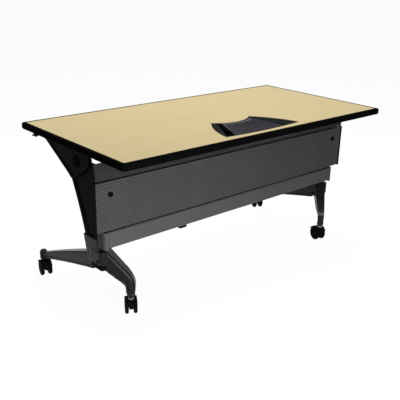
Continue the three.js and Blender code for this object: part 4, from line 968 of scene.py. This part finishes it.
# The studio: a pale floor that keeps the table's shadow, a white surround, three soft lamps and the camera.
# The rear lamp stands low behind the table to light the far sides of its legs, and no gloss mirrors it.
def seen_as_background(tree):
    """Is 1 for the rays that see the surround itself, directly or mirrored in metal, and 0 for its light."""
    path = add_node(tree, "ShaderNodeLightPath")
    seen = path.outputs["Is Camera Ray"]
    for kind in ("Is Glossy Ray", "Is Transmission Ray"):
        either = add_node(tree, "ShaderNodeMath", {0: seen, 1: path.outputs[kind]}, operation="MAXIMUM")
        seen = either.outputs["Value"]
    return seen


# A white paper floor: it glows to the eye, and its matte part takes the lamps' light and the table's shadow
floor_white, tree = new_material("white_studio_floor")
seen = seen_as_background(tree)
floor_glow = 0.95
white = add_node(tree, "ShaderNodeMath", {0: seen, 1: floor_glow}, operation="MULTIPLY")
matte = add_node(tree, "ShaderNodeBsdfDiffuse", {"Color": linear("#5a5a5a")})
glow = add_node(tree, "ShaderNodeEmission", {"Color": linear("#ffffff"), "Strength": white.outputs["Value"]})
both = add_node(tree, "ShaderNodeAddShader", {0: matte.outputs["BSDF"], 1: glow.outputs["Emission"]})
add_node(tree, "ShaderNodeOutputMaterial", {"Surface": both.outputs["Shader"]})
bpy.ops.object.select_all(action="DESELECT")
bpy.ops.mesh.primitive_plane_add(size=120)
floor = bpy.context.object
floor.name = "studio_floor"
floor.data.materials.append(floor_white)

world = bpy.data.worlds.new("white_surround")
bpy.context.scene.world = world
world.use_nodes = True
tree = world.node_tree
tree.nodes.clear()
seen = seen_as_background(tree)
strength = add_node(tree, "ShaderNodeMapRange", {"Value": seen, "To Min": 0.14, "To Max": 0.96})
sky = add_node(tree, "ShaderNodeBackground", {
    "Color": linear("#ffffff"), "Strength": strength.outputs["Result"]})
add_node(tree, "ShaderNodeOutputWorld", {"Surface": sky.outputs["Background"]})


def soft_lamp(name, where, towards, size, power):
    """A square softbox that faces a point."""
    lamp = bpy.data.lights.new(name, "AREA")
    lamp.size = size
    lamp.energy = power
    holder = bpy.data.objects.new(name, lamp)
    bpy.context.scene.collection.objects.link(holder)
    holder.location = where
    holder.rotation_euler = (Vector(towards) - Vector(where)).to_track_quat("-Z", "Y").to_euler()
    return holder


soft_lamp("key_softbox", where=(-0.8, -1.9, 0.36), towards=(-0.4, 0, 0.5), size=0.7, power=32)
soft_lamp("top_softbox", where=(0.2, 0.4, 3.4), towards=(0.1, 0, 0.6), size=2.2, power=71)
rear_lamp = soft_lamp("rear_softbox", where=(1.5, 2.0, 0.36), towards=(0.1, 0, 0.45), size=0.6, power=36)
rear_lamp.visible_glossy = False

camera = bpy.data.cameras.new("photo_camera")
camera.sensor_width = 36
camera.lens = 57.44
holder = bpy.data.objects.new("photo_camera", camera)
bpy.context.scene.collection.objects.link(holder)
stand = (-1.94638, -2.11935, 1.39065)
yaw, pitch, roll = 0.72547, -0.36044, 0.02313
forward = Vector((math.sin(yaw) * math.cos(pitch), math.cos(yaw) * math.cos(pitch), math.sin(pitch)))
level = Vector((math.cos(yaw), -math.sin(yaw), 0))
upright = level.cross(forward)
right = level * math.cos(roll) + upright * math.sin(roll)
above = upright * math.cos(roll) - level * math.sin(roll)
turn = Matrix((right, above, -forward)).transposed().to_4x4()
holder.matrix_world = Matrix.Translation(stand) @ turn
bpy.context.scene.camera = holder
bpy.context.scene.view_settings.view_transform = "Standard"
